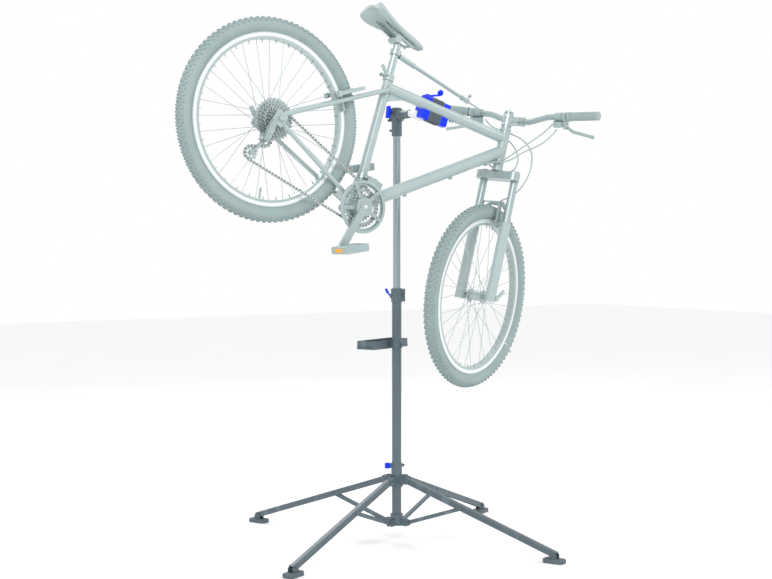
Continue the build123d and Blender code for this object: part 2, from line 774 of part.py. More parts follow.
def seat_stays():
    body = None
    for side in (1, -1):
        foot_end = mirrored(stay_foot, side)
        stay = rod(foot_end, mirrored(stay_root, side), seatstay_radius)
        body = stay if body is None else body + stay
    bridge_at = 0.82
    left = stay_foot + (stay_root - stay_foot) * bridge_at
    body += rod(left, mirrored(left, -1), 6)
    body += rod(mirrored(stay_root, 1), mirrored(stay_root, -1), seatstay_radius)
    for side in (1, -1):
        body -= dropout(side)
        body -= rod(mirrored(chain_foot, side), mirrored(chain_root, side), chainstay_radius)
        body -= rod((0, 0, 0), (0, side * (rear_half), 0), 30)
    body -= rod(crank_centre, seat_end, seat_tube_radius)
    body -= rod(top_start, top_end, top_tube_radius)
    body -= rod(seat_end - seat_axis * 20, seat_end, seat_tube_radius + 4)
    return [on_bike(body)]


# Saddle and its post
post_top = seat_end + seat_axis * seatpost_rise


def seat_post():
    low = seat_end - seat_axis * seatpost_inside
    body = pipe(low, post_top, seatpost_radius, seatpost_radius - 2)
    back = post_top + Vector(-18, 0, 10)
    body += Pos(post_top) * Sphere(seatpost_radius)
    head = rod(back - Vector(0, 24, 0), back + Vector(0, 24, 0), 13)
    rails = []
    for side in (1, -1):
        rails.append(rod(back + Vector(-70, side * 22, 13), back + Vector(62, side * 22, 13), 3.5))
    body += head
    for rail in rails:
        body -= rail
    return [on_bike(shape) for shape in [body] + rails]


def saddle():
    """A plain closed form of the padded saddle: wide behind, narrow at the nose."""
    half = saddle_width / 2
    back = saddle_nose_x - saddle_length
    outline = [(saddle_nose_x, 0), (saddle_nose_x - 12, 17), (saddle_nose_x - 110, 26),
               (saddle_nose_x - 175, 50), (back + 40, half), (back + 12, half - 14), (back, 26)]
    top = Spline(outline + [(x, -y) for x, y in reversed(outline[1:])], periodic=True)
    low = saddle_low_z + 6
    body = extrude(Plane.XY.offset(low) * make_face(top), saddle_thick)
    body = chamfer(body.faces().sort_by(Axis.Z)[-1].edges(), 6)
    for side in (1, -1):
        body -= rod((back, side * 22, saddle_low_z), (saddle_nose_x, side * 22, saddle_low_z), 9)
    return [on_bike(body)]


def seat_lever():
    place = lever_place
    pivot = rod(place + Vector(0, 12.5, 0), place - Vector(0, 20, 0), 3.5)
    nut = rod(place + Vector(0, 12.5, 0), place + Vector(0, 18, 0), 7)
    cam = rod(place - Vector(0, 12.5, 0), place - Vector(0, 20, 0), 6.5)
    arm = bar(place - Vector(0, 16, 0), place + Vector(-34, -22, 12), 6, 11)
    return [on_bike(pivot + nut + cam + arm)]


# Wheels: drawn about the origin with the axle along Y
def tyre():
    ring = Rot(90, 0, 0) * Torus(tyre_radius - tyre_section, tyre_section)
    ring -= Rot(90, 0, 0) * Torus(tyre_radius - tyre_section, tyre_section - tyre_wall)
    return ring - rod((0, -tyre_section - 1, 0), (0, tyre_section + 1, 0), rim_outer + 0.1)


def wheel(half, left_flange, right_flange):
    ring = pipe((0, -rim_half, 0), (0, rim_half, 0), rim_outer, rim_inner)
    ring -= pipe((0, rim_wall - rim_half, 0), (0, rim_half - rim_wall, 0), rim_outer + 1,
                 rim_inner + rim_wall)
    hub = rod((0, -right_flange, 0), (0, left_flange, 0), hub_shell)
    for side, flange_y in ((1, left_flange), (-1, right_flange)):
        hub += rod((0, side * (flange_y - flange_thick), 0), (0, side * flange_y, 0), flange_radius)
        hub += rod((0, side * flange_y, 0), (0, side * (half - near_gap), 0), hub_end_radius)
    hub -= rod((0, -half, 0), (0, half, 0), axle_radius + running)
    spokes = []
    for index in range(spoke_count):
        side = 1 if index % 2 else -1
        flange_y = left_flange if index % 2 else right_flange
        turn = 2 * pi * index / spoke_count
        lead = 0.9 if index % 4 < 2 else -0.9
        start = Vector((flange_radius - 1) * cos(turn + lead), side * (flange_y - flange_thick / 2),
                       (flange_radius - 1) * sin(turn + lead))
        end = Vector((rim_inner - 0.05) * cos(turn), side * 2.0, (rim_inner - 0.05) * sin(turn))
        path = end - start
        spokes.append(rod(start + path * (3.0 / path.length), end, spoke_radius))
    return [ring, hub] + spokes


def skewer(half):
    return rod((0, -half - 2, 0), (0, half + 2, 0), axle_radius)


front_axle = fork_point(0, fork_offset)


def front_at(shape):
    return on_fork(Pos(front_axle) * shape)


# Fork
def fork_crown():
    steerer = rod(fork_point(crown_high - 4, 0), fork_point(stem_high + 6, 0), steerer_radius)
    plane = Plane(fork_point(crown_low, leg_forward / 2), x_dir=Vector(0, 1, 0), z_dir=head_up)
    shape = Rectangle(2 * leg_spread + 44, 48)
    crown = extrude(plane * fillet(shape.vertices(), 20), head_low - 7 - near_gap - crown_low)
    solids = [steerer + crown]
    for side in (1, -1):
        low = fork_point(lower_top - 110, leg_forward, side * leg_spread)
        high = fork_point(crown_low, leg_forward, side * leg_spread)
        solids.append(rod(low, high, stanchion_radius))
        cap_low = fork_point(head_low - 7 - near_gap, leg_forward, side * leg_spread)
        cap_high = fork_point(head_low + 2, leg_forward, side * leg_spread)
        solids.append(rod(cap_low, cap_high, 13))
    return [on_fork(shape) for shape in solids]


def fork_lowers():
    body = None
    for side in (1, -1):
        low = fork_point(lower_low, leg_forward, side * leg_spread)
        high = fork_point(lower_top, leg_forward, side * leg_spread)
        leg_body = rod(low, high, lower_radius)
        leg_body += rod(high, fork_point(lower_top + 8, leg_forward, side * leg_spread),
                        lower_radius - 1.5)
        leg_body += rod(fork_point(0, fork_offset, side * front_half),
                        fork_point(0, fork_offset, side * (leg_spread + 8)), 15)
        root = fork_point(lower_top - 26, leg_forward + 2, side * (leg_spread - 4))
        knee = fork_point(arch_low - 14, leg_forward + 16, side * 46)
        leg_body += rod(root, knee, 8)
        leg_body += Pos(knee) * Sphere(8)
        leg_body += rod(knee, fork_point(arch_low + 8, leg_forward + 17, side * 24), 8)
        leg_body += Pos(fork_point(arch_low + 8, leg_forward + 17, side * 24)) * Sphere(8)
        body = leg_body if body is None else body + leg_body
    body += rod(fork_point(arch_low + 8, leg_forward + 17, 24),
                fork_point(arch_low + 8, leg_forward + 17, -24), 8)
    for side in (1, -1):
        deep = fork_point(lower_top - 110 - fork_travel - 20, leg_forward, side * leg_spread)
        high = fork_point(lower_top + 9, leg_forward, side * leg_spread)
        body -= rod(deep, high, stanchion_radius + running)
        body -= rod(high, high + head_up * 90, stanchion_radius + 3)
    ends = fork_point(0, fork_offset, front_half + 2)
    body -= rod(fork_point(0, fork_offset, -front_half - 2), ends, axle_radius)
    inner = fork_point(0, fork_offset, front_half)
    body -= rod(fork_point(0, fork_offset, -front_half), inner, hub_end_radius + 4)
    body -= Pos(front_axle) * rod((0, -rim_half - 15.5, 0), (0, rim_half + 15.5, 0), tyre_radius + 4)
    lever = rod(fork_point(0, fork_offset, -leg_spread - 8),
                fork_point(0, fork_offset, -leg_spread - 24), 9)
    lever += bar(fork_point(0, fork_offset, -leg_spread - 20),
                 fork_point(36, fork_offset + 34, -leg_spread - 24), 7, 12)
    nut = rod(fork_point(0, fork_offset, leg_spread + 8), fork_point(0, fork_offset, leg_spread + 17), 9)
    solids = [body, lever, nut, Pos(front_axle) * skewer(front_half)]
    return [on_fork(shape) for shape in solids]


def brake_pair(boss_radius, top_radius, along, away, shift, centre):
    """Two upright arms with pads at the rim: along runs from the axle up the blades, away is square to it."""
    shapes = []
    for side in (1, -1):
        out = Vector(0, side, 0)
        base = centre + along * boss_radius + away * shift + out * 41
        tip = centre + along * top_radius + away * shift + out * 37
        arm = bar(base, tip, 9, 13)
        arm += rod(base - away * 9, base + away * 9, 8)
        pad_mid = centre + along * (rim_outer - 8)
        pad = bar(pad_mid - away * 27 + out * 20.5, pad_mid + away * 27 + out * 20.5, 10, 10)
        post = rod(pad_mid + away * shift + out * 25, pad_mid + away * shift + out * 44, 4)
        reach = bar(pad_mid + out * 24, pad_mid + away * shift + out * 24, 7, 8)
        shapes += [arm + post + reach + pad]
    return shapes


def rear_brake():
    along = (stay_root - stay_foot)
    along = Vector(along.X, 0, along.Z).normalized()
    away = Vector(-along.Z, 0, along.X)
    shapes = brake_pair(262, 368, along, away, 34, Vector(0, 0, 0))
    mid = along * 362 + away * 34
    noodle = rod(mid + Vector(0, 32, 0), mid - Vector(0, 32, 0), 2.4)
    return [on_bike(shape) for shape in shapes + [noodle]]


def front_brake():
    shapes = brake_pair(262, 352, head_up, head_fwd * -1, 24 - leg_forward + fork_offset, front_axle)
    mid = front_axle + head_up * 349 - head_fwd * (24 - leg_forward + fork_offset)
    noodle = rod(mid + Vector(0, 32, 0), mid - Vector(0, 32, 0), 2.4)
    return [on_fork(shape) for shape in shapes + [noodle]]


# Stem, bar and controls
bar_centre = fork_point((stem_low + stem_high) / 2 + stem_rise, stem_reach)
outer_knee = bar_centre + Vector(0, bar_bend_end, 0) + head_up * bar_rise - head_fwd * 6
bar_end = bar_centre + Vector(0, bar_half, 0) + head_up * (bar_rise + 6) - head_fwd * bar_back
bar_run = (bar_end - outer_knee).normalized()


def stem():
    body = rod(fork_point(stem_low, 0), fork_point(stem_high, 0), steerer_radius + 5)
    neck_low = fork_point((stem_low + stem_high) / 2, 10)
    body += rod(neck_low, bar_centre, 14)
    body += rod(bar_centre - Vector(0, 24, 0), bar_centre + Vector(0, 24, 0), bar_radius + 6)
    body -= rod(fork_point(stem_low - 1, 0), fork_point(stem_high + 6, 0), steerer_radius)
    body -= rod(bar_centre - Vector(0, 30, 0), bar_centre + Vector(0, 30, 0), bar_radius)
    cap = rod(fork_point(stem_high + 6, 0), fork_point(stem_high + 11, 0), 17)
    spacer = pipe(fork_point(head_high + 9 + near_gap, 0), fork_point(stem_low, 0), 17, steerer_radius)
    return [on_fork(shape) for shape in (body, cap, spacer)]


def handlebar():
    body = rod(bar_centre - Vector(0, bar_centre_flat, 0), bar_centre + Vector(0, bar_centre_flat, 0),
               bar_radius)
    for side in (1, -1):
        flat = bar_centre + Vector(0, side * bar_centre_flat, 0)
        knee = mirrored(outer_knee, side)
        body += Pos(flat) * Sphere(bar_radius)
        body += rod(flat, knee, bar_radius)
        body += Pos(knee) * Sphere(bar_radius)
        body += rod(knee, mirrored(bar_end, side), bar_radius)
    return [on_fork(body)]


def grips():
    solids = []
    for side in (1, -1):
        start = bar_end - bar_run * grip_length
        end = bar_end + bar_run * 4
        solid = rod(mirrored(start, side), mirrored(end, side), grip_radius)
        solid -= rod(mirrored(start, side), mirrored(bar_end, side), bar_radius)
        solids.append(solid)
    return [on_fork(shape) for shape in solids]


perch = bar_end - bar_run * (grip_length + 14)
lever_out = head_fwd * cos(radians(lever_tilt)) - head_up * sin(radians(lever_tilt))
lever_pivot = perch + lever_out * lever_stand
lever_axis = lever_out.cross(bar_run).normalized()


def shifter_pods():
    """Lever perch and shifter body clamped on each side of the bar."""
    solids = []
    for side in (1, -1):
        place = mirrored(perch, side)
        run = mirrored(bar_run, side)
        ring = rod(place - run * 9, place + run * 9, bar_radius + 5)
        pivot = mirrored(lever_pivot, side)
        swing = mirrored(lever_axis, side)
        arm = bar(place + lever_out * 10, pivot + lever_out * 9, 12, 20)
        pod_at = place - run * 27
        pod = rod(pod_at - head_up * 16, pod_at - head_up * 34 + head_fwd * 10, pod_radius)
        hood = rod(place - run * 40, place - run * 11, bar_radius + 5)
        body = ring + hood + arm + pod
        body -= rod(place - run * 60, place + run * 60, bar_radius)
        body -= bar(pivot - lever_out * 9 + run * 2, pivot + lever_out * 30 + run * 2, 34, 9,
                    side=lever_out.cross(swing))
        body += rod(pivot - swing * 10, pivot + swing * 10, 2.5)
        solids.append(body)
    return [on_fork(shape) for shape in solids]


def brake_lever(side):
    pivot = mirrored(lever_pivot, side)
    run = mirrored(bar_run, side)
    swing = mirrored(lever_axis, side)
    knee = pivot + run * 30 + lever_out * lever_spread / 2
    tip = pivot + run * lever_length + lever_out * lever_spread
    body = rod(pivot - swing * 4, pivot + swing * 4, 7)
    body += bar(pivot, knee, 8, 8, side=swing)
    body += bar(knee, tip, 7, 10, side=swing)
    body += rod(knee - swing * 3.7, knee + swing * 3.7, 5)
    body += rod(tip - swing * 3.2, tip + swing * 3.2, 6.5)
    body -= rod(pivot - swing * 12, pivot + swing * 12, 2.5 + running)
    return [on_fork(body)]


# Drivetrain
def pitch_radius(teeth):
    return chain_pitch / (2 * sin(pi / teeth))


def disc(centre, radius, y_mid, thick):
    return rod((centre[0], y_mid - thick / 2, centre[1]), (centre[0], y_mid + thick / 2, centre[1]),
               radius)


crank_place = (crank_centre.X, crank_centre.Z)
guard_y = -chainline - ring_spacing - 5


def chainrings():
    solids = []
    for index, teeth in enumerate(ring_teeth):
        y = -chainline + (1 - index) * ring_spacing
        ring = disc(crank_place, pitch_radius(teeth) - tooth_root, y, sprocket_thick)
        ring -= disc(crank_place, spider_hub + 0.1, y, sprocket_thick + 1)
        solids.append(ring)
    guard = disc(crank_place, guard_radius, guard_y, guard_thick)
    guard -= disc(crank_place, guard_inner, guard_y, guard_thick + 1)
    solids.append(guard)
    return [on_bike(shape) for shape in solids]


def crank_arm_solid(side):
    start = Vector(crank_centre.X, side * crank_side - side * crank_thick / 2, crank_centre.Z)
    end = start + Vector(0, side * 4, side * crank_length)
    body = bar(start, end, crank_thick, 26)
    body += rod(start - Vector(0, crank_thick / 2, 0), start + Vector(0, crank_thick / 2, 0), 17)
    body += rod(end - Vector(0, crank_thick / 2, 0), end + Vector(0, crank_thick / 2, 0), 14)
    return body - rod(end - Vector(0, 40, 0), end + Vector(0, 40, 0), 5 + running)


def crank_arms():
    spindle = rod(crank_centre - Vector(0, crank_side - 2, 0),
                  crank_centre + Vector(0, crank_side - 2, 0), 12)
    body = spindle + crank_arm_solid(1) + crank_arm_solid(-1)
    body += rod(crank_centre - Vector(0, crank_side - 2, 0), crank_centre - Vector(0, 36, 0), spider_hub)
    middle = crank_centre + Vector(0, guard_y, 0)
    for index in range(spider_arms):
        turn = 2 * pi * index / spider_arms
        out = Vector(cos(turn), 0, sin(turn))
        body += bar(middle, middle + out * (guard_inner - 0.2), guard_thick, 13)
    return [on_bike(body)]


def pedal(side):
    axle_end = crank_centre + Vector(0, side * (crank_side - crank_thick / 2 + 4), side * crank_length)
    start = axle_end + Vector(0, side * (crank_thick / 2 + pedal_gap), 0)
    body = bar(start, start + Vector(0, side * pedal_width, 0), pedal_length, pedal_thick,
               side=Vector(1, 0, 0))
    body = fillet(body.edges().filter_by(Axis.Y), 6)
    middle = start + Vector(0, side * pedal_width / 2, 0)
    for shift in (-1, 1):
        window = bar(middle + Vector(shift * 26, -pedal_width * 0.38, 0),
                     middle + Vector(shift * 26, pedal_width * 0.38, 0),
                     24, pedal_thick + 2, side=Vector(1, 0, 0))
        body -= window
    body = body.rotate(Axis(axle_end, Vector(0, 1, 0)), -pedal_tilt)
    shaft = rod(axle_end - Vector(0, side * crank_thick / 2, 0), start, 5)
    return [on_bike(body + shaft)]


def cassette():
    solids = []
    for index, teeth in enumerate(cassette_teeth):
        y = -chainline + (3 - index) * sprocket_spacing
        solids.append(disc((0, 0), pitch_radius(teeth) - tooth_root, y, sprocket_thick))
    carrier = rod((0, -chainline + 3 * sprocket_spacing + 1, 0),
                  (0, -chainline - 3 * sprocket_spacing - 3, 0), 22)
    body = carrier
    for solid in solids:
        body += solid
    return [on_bike(body - rod((0, -90, 0), (0, 0, 0), hub_end_radius + near_gap))]


def tangent_points(first, second, radius_first, radius_second, turn_first, turn_second):
    """Ends of the straight run from one wheel to the next; a turn of 1 is anticlockwise, -1 clockwise."""
    gap_x, gap_z = second[0] - first[0], second[1] - first[1]
    distance = hypot(gap_x, gap_z)
    heading = atan2(gap_z, gap_x)
    lean = asin((turn_first * radius_first - turn_second * radius_second) / distance)
    across = heading + lean
    start = (first[0] + turn_first * radius_first * sin(across),
             first[1] - turn_first * radius_first * cos(across))
    end = (second[0] + turn_second * radius_second * sin(across),
           second[1] - turn_second * radius_second * cos(across))
    return start, end


def chain_wheels():
    ring = pitch_radius(ring_teeth[1])
    cog = pitch_radius(driven_teeth)
    pulley = pitch_radius(pulley_teeth)
    return [(crank_place, ring, -1), (lower_pulley, pulley, -1), (upper_pulley, pulley, 1),
            ((0, 0), cog, -1)]


def chain():
    """A smooth band on the chain's pitch line, over ring, pulleys and sprocket."""
    wheels = chain_wheels()
    runs = []
    for index, (centre, radius, turn) in enumerate(wheels):
        nxt, nxt_radius, nxt_turn = wheels[(index + 1) % len(wheels)]
        runs.append(tangent_points(centre, nxt, radius, nxt_radius, turn, nxt_turn))
    edges = []
    for index, (start, end) in enumerate(runs):
        edges.append(Edge.make_line((start[0], 0, start[1]), (end[0], 0, end[1])))
        centre, radius, turn = wheels[(index + 1) % len(wheels)]
        leave = runs[(index + 1) % len(runs)][0]
        first = atan2(end[1] - centre[1], end[0] - centre[0])
        last = atan2(leave[1] - centre[1], leave[0] - centre[0])
        sweep_angle = (last - first) * turn % (2 * pi)
        half_way = first + turn * sweep_angle / 2
        middle = (centre[0] + radius * cos(half_way), 0, centre[1] + radius * sin(half_way))
        edges.append(Edge.make_three_point_arc((end[0], 0, end[1]), middle, (leave[0], 0, leave[1])))
    path = Wire(edges)
    start = Vector(runs[0][0][0], 0, runs[0][0][1])
    along = (Vector(runs[0][1][0], 0, runs[0][1][1]) - start).normalized()
    section = Plane(start, x_dir=Vector(0, 1, 0), z_dir=along) * Rectangle(chain_width, 2 * chain_half)
    band = sweep(section, path=path, transition=Transition.RIGHT)
    return [on_bike(Pos(0, -chainline, 0) * band)]


def jockey_wheels():
    radius = pitch_radius(pulley_teeth) - tooth_root
    solids = []
    for centre in (upper_pulley, lower_pulley):
        solids.append(disc(centre, radius, -chainline, 5) - disc(centre, 4, -chainline, 6))
    return [on_bike(shape) for shape in solids]


def rear_derailleur():
    solids = []
    up, low = Vector(upper_pulley[0], 0, upper_pulley[1]), Vector(lower_pulley[0], 0, lower_pulley[1])
    for side in (1, -1):
        y = -chainline + side * 6
        plate = bar(up + Vector(0, y - 0.8, 0), low + Vector(0, y - 0.8, 0), 1.6, cage_width)
        for point in (up, low):
            plate += disc((point.X, point.Z), cage_width * 0.8, y - 0.8, 1.6)
        solids.append(plate)
    pins = []
    for point in (up, low):
        pins.append(disc((point.X, point.Z), 3.9, -chainline, 14))
    outer_y = -chainline - 6.8
    arm = bar(up + Vector(-4, outer_y - 9, 6), Vector(-14, -rear_half - 10, -34), 18, 20)
    arm += rod(up + Vector(-4, outer_y - 0.8, 0), up + Vector(-4, outer_y - 18, 0), 11)
    arm += rod((-14, -rear_half - 6, -34), (-14, -rear_half - 16, -34), 11)
    hanger = block(-24, -4, -rear_half - 6, -rear_half, -44, -24)
    arm += hanger
    arm -= rod((0, -rear_half - 20, 0), (0, 0, 0), 24)
    body = solids[0] + solids[1] + pins[0] + pins[1] + arm
    return [on_bike(body)]


def front_derailleur():
    place = crank_centre + seat_axis * 112
    band = pipe(place - seat_axis * 9, place + seat_axis * 9, seat_tube_radius + 3, seat_tube_radius)
    arm = bar(place + Vector(4, -16, 0), place + Vector(26, -34, -6), 14, 14)
    cage_y = -chainline
    plates = []
    for side in (1, -1):
        y = cage_y + side * (chain_width / 2 + 3)
        low = crank_centre + Vector(28, y, pitch_radius(ring_teeth[2]) + 17)
        high = crank_centre + Vector(-32, y, pitch_radius(ring_teeth[2]) + 10)
        plates.append(bar(high, low, 1.5, 22))
    bridge = bar(crank_centre + Vector(-2, cage_y + 7, 110), crank_centre + Vector(-2, cage_y - 7, 110),
                 14, 4,
                 side=Vector(1, 0, 0))
    body = band + arm + plates[0] + plates[1] + bridge
    return [on_bike(body - rod(crank_centre, seat_end, seat_tube_radius))]


# Handlebar holder: a telescopic rod from the seat post to the left side of the bar
holder_start = seat_end + seat_axis * 84
holder_grip = perch - bar_run * 56


def turned(point):
    """A fork-frame point after the bar has been turned to its rest angle."""
    return head_foot + (point - head_foot).rotate(Axis((0, 0, 0), head_up), steered)


def holder_rod():
    target = turned(holder_grip - head_fwd * (bar_radius + 9))
    start = holder_start + Vector(seatpost_radius + 6, 0, 0)
    path = target - start
    ring = pipe(holder_start - seat_axis * 9, holder_start + seat_axis * 9, seatpost_radius + 6,
                seatpost_radius)
    sleeve = rod(start, start + path * 0.17, 9)
    main = rod(start + path * 0.17, start + path * 0.72, 6.5)
    thick = rod(start + path * 0.72, start + path * 0.80, 9)
    thin = rod(start + path * 0.80, target, 3)
    knob_at = start + path * 0.79
    knob = rod(knob_at, knob_at + Vector(0, 0, 24), 3) + Pos(knob_at + Vector(0, 0, 24)) * Sphere(7)
    body = sleeve + main + thick + thin + knob
    body -= rod(holder_start - seat_axis * 9, holder_start + seat_axis * 9, seatpost_radius + 6)
    hook = Pos(target) * Sphere(6)
    return [on_bike(ring), on_bike(body + hook)]


# Cables: each route starts at the bar and ends in a stop under the down tube or at the front brake
down_dir = (down_end - crank_centre).normalized()
down_under = Vector(down_dir.Z, 0, -down_dir.X)


def stop_place(along, left):
    """The low end of a cable stop under the down tube, as far along it and to the left as given."""
    drop = ((down_tube_radius + stop_radius - 1.5) ** 2 - left ** 2) ** 0.5
    return crank_centre + down_dir * along + down_under * drop + Vector(0, left, 0)


def stop_mouth(left):
    return stop_place(stop_along + stop_length, left)


rear_brake_route = [
    (918, -106, 665), (911, -98, 626), (889, -78, 565), (867, -57, 506), (853, -39, 463), (841, -18,
                                                                                           438),
]
rear_shift_route = [
    (937, -117, 653), (939, -98, 610), (918, -80, 562), (888, -65, 518), (872, -56, 477), (850, -42,
                                                                                           446),
]
front_shift_route = [
    (814, 164, 614), (822, 133, 594), (838, 93, 583), (872, 57, 578), (912, 34, 563), (942, 22, 532),
    (949, 18, 492), (931, 24, 460), (894, 36, 447), (853, 38, 437),
]
front_brake_route = [
    (818, 163, 634), (828, 129, 608), (838, 81, 595), (858, 33, 589), (890, -2, 588), (928, -20, 578),
    (958, -30, 550), (974, -35, 505), (978, -37, 455), (973, -33, 405), (956, -21, 363), (928, -26, 330),
]


def arc_radii(points):
    """The largest arc at each corner that leaves its two runs a straight middle."""
    radii = []
    for before, corner, after in zip(points, points[1:], points[2:]):
        turn = radians((corner - before).get_angle(after - corner))
        shorter = min((corner - before).length, (after - corner).length)
        radii.append(0.45 * shorter / tan(turn / 2))
    return radii


def cables():
    solids = []
    ends = [stop_mouth(0), stop_mouth(-stop_spread), stop_mouth(stop_spread), None]
    for route, end in zip([rear_brake_route, rear_shift_route, front_shift_route, front_brake_route],
                          ends):
        points = [Vector(*place) for place in route]
        if end is not None:
            points += [end + down_dir * stop_lead, end]
        radii = arc_radii(points)
        print("cable radii", [round(radius) for radius in radii])
        path = FilletPolyline(*points, radius=radii)
        section = Plane(points[0], z_dir=points[1] - points[0]) * Circle(cable_radius)
        solids.append(sweep(section, path=path))
    return [on_bike(shape) for shape in solids]


nodes = {
    "lower_mast": lower_mast,
    "base_hub": base_hub,
    "leg_collar": leg_collar,
    "collar_knob": collar_knob,
    "height_clamp": height_clamp,
    "height_lever": height_lever,
    "tool_tray": tool_tray,
    "upper_mast": upper_mast,
    "clamp_head": clamp_head,
    "head_lever": head_lever,
    "clamp_arm": clamp_arm,
    "lower_jaw": lower_jaw,
    "upper_jaw": upper_jaw,
    "clamp_crank": clamp_crank,
    "top_tube": top_tube,
    "down_tube": down_tube,
    "seat_tube": seat_tube,
    "head_tube": head_tube,
    "chain_stays": chain_stays,
    "seat_stays": seat_stays,
    "seat_post": seat_post,
    "saddle": saddle,
    "seat_lever": seat_lever,
    "fork_crown": fork_crown,
    "fork_lowers": fork_lowers,
    "stem": stem,
    "handlebar": handlebar,
    "grips": grips,
    "shifter_pods": shifter_pods,
    "brake_lever_left": lambda: brake_lever(1),
    "brake_lever_right": lambda: brake_lever(-1),
    "front_tyre": lambda: [front_at(tyre())],
    "front_wheel": lambda: [front_at(shape) for shape in wheel(front_half, front_flange, front_flange)],
    "rear_tyre": lambda: [on_bike(tyre())],
    "rear_wheel": lambda: [on_bike(shape) for shape in wheel(rear_half, rear_left_flange,
                                                             rear_right_flange)],
    "cassette": cassette,
    "crank_arms": crank_arms,
    "chainrings": chainrings,
    "pedal_left": lambda: pedal(1),
    "pedal_right": lambda: pedal(-1),
    "chain": chain,
    "rear_derailleur": rear_derailleur,
    "jockey_wheels": jockey_wheels,
    "front_derailleur": front_derailleur,
    "rear_brake": rear_brake,
    "front_brake": front_brake,
    "holder_rod": holder_rod,
    "cables": cables,
}
for number, azimuth in enumerate(leg_azimuths, 1):
    nodes[f"leg_{number}"] = lambda angle=azimuth: leg(angle)
    nodes[f"strut_{number}"] = lambda angle=azimuth: strut(angle)
    nodes[f"foot_{number}"] = lambda angle=azimuth: foot(angle)

if __name__ == "__main__":
    os.makedirs("parts", exist_ok=True)
    for name, make in nodes.items():
        solids = [solid for shape in make() for solid in shape.solids()]
        export_step(Compound(solids), f"parts/{name}.step")
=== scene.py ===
# %% [markdown]
# # A mountain bicycle held in a folding repair stand
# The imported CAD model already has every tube, joint and bearing in its true place. This file gives it its looks:
# a camera, soft light, a finish for every part, and finer meshes where the CAD part is only a plain solid.
# Everything is in metres, in the CAD model's own frame, with the floor at z = 0 and the mast on the z axis.

# %% Load the frame
import json
from math import asin, atan2, ceil, cos, exp, hypot, pi, radians, sin

import bpy
from mathutils import Matrix, Vector


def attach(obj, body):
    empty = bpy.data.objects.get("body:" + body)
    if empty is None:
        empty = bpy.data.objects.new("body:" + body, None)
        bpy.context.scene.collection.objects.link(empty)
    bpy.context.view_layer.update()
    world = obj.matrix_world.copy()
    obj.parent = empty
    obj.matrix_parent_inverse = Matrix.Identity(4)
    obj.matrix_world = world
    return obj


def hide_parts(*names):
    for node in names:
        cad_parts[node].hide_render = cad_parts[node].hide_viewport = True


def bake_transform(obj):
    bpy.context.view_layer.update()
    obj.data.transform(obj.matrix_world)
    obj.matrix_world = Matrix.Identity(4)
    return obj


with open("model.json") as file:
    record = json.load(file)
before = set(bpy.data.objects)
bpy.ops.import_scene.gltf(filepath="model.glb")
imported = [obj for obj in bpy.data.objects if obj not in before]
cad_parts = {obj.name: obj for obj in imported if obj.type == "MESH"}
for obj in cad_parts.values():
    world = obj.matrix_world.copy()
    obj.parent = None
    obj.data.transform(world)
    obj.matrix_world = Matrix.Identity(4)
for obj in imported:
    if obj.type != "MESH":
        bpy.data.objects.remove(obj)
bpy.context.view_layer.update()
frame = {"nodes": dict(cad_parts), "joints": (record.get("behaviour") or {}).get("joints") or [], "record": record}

# %% [markdown]
# ## Camera
# The stand is seen from the bicycle's right and a little behind it, at chest height and from about five metres,
# so the lines hardly converge. The camera's own axes are built from the direction that it looks in: its -Z goes
# along the view, and its X stays level.

# %% Camera
eye = Vector((-2.9277, -4.1905, 1.1194))
looking = Vector((0.566, 0.8237, -0.0354))
camera_data = bpy.data.cameras.new("camera")
camera_data.lens = 64.35
camera_data.sensor_width = 36.0
camera = bpy.data.objects.new("camera", camera_data)
camera.location = eye
camera.rotation_euler = looking.to_track_quat("-Z", "Y").to_euler()
bpy.context.scene.collection.objects.link(camera)
bpy.context.scene.camera = camera
print("camera at", [round(c, 2) for c in eye])

# %% [markdown]
# ## Two local frames
# A bicycle is easiest to describe in its own frame, with the rear axle as origin, x forward and z up. Here the
# whole bicycle hangs nose down. The joints of the model give the rear axle, the crank and the steering axis, so the
# tilt is worked out from them. The fork has a second frame, which has turned with the handlebar.

# %% Places on the bicycle and on the fork
joints = {joint["name"]: joint for joint in frame["joints"]}
MM = 0.001


def pivot(name):
    return Vector(joints[name]["pos_m"])


def axis(name):
    return Vector(joints[name]["axis"]).normalized()


axle_to_crank = Vector((430.0, 0.0, -47.0))
rear_axle = pivot("rear_wheel_spin")
crank_centre = pivot("crank_spin")
reach = crank_centre - rear_axle
nose_down = atan2(-reach.z, reach.x) - atan2(-axle_to_crank.z, axle_to_crank.x)
bike_turn = Matrix.Rotation(nose_down, 3, "Y")
fork_up = axis("steering_turn")
fork_left = axis("front_wheel_spin")
fork_ahead = fork_left.cross(fork_up)
left_of_bike = Vector((0.0, 1.0, 0.0))


def on_bike(x, y, z):
    """A point given in millimetres in the bicycle's frame."""
    return rear_axle + bike_turn @ Vector((x, y, z)) * MM


def on_fork(along, ahead, left):
    """A point in millimetres up the steering axis, ahead of it, and to the left, in the turned fork."""
    return pivot("steering_turn") + (fork_up * along + fork_ahead * ahead + fork_left * left) * MM


print("nose down by", round(nose_down * 180 / pi, 1), "degrees")

# %% [markdown]
# ## Making meshes
# Most small parts are one of three shapes: something turned on a lathe, a flat plate with an outline, or a hose.
# A lathe shape is a list of (distance along the axis, radius) pairs swept round. The helpers below return vertices
# and faces, so that many small shapes can be gathered into one mesh before it becomes an object.

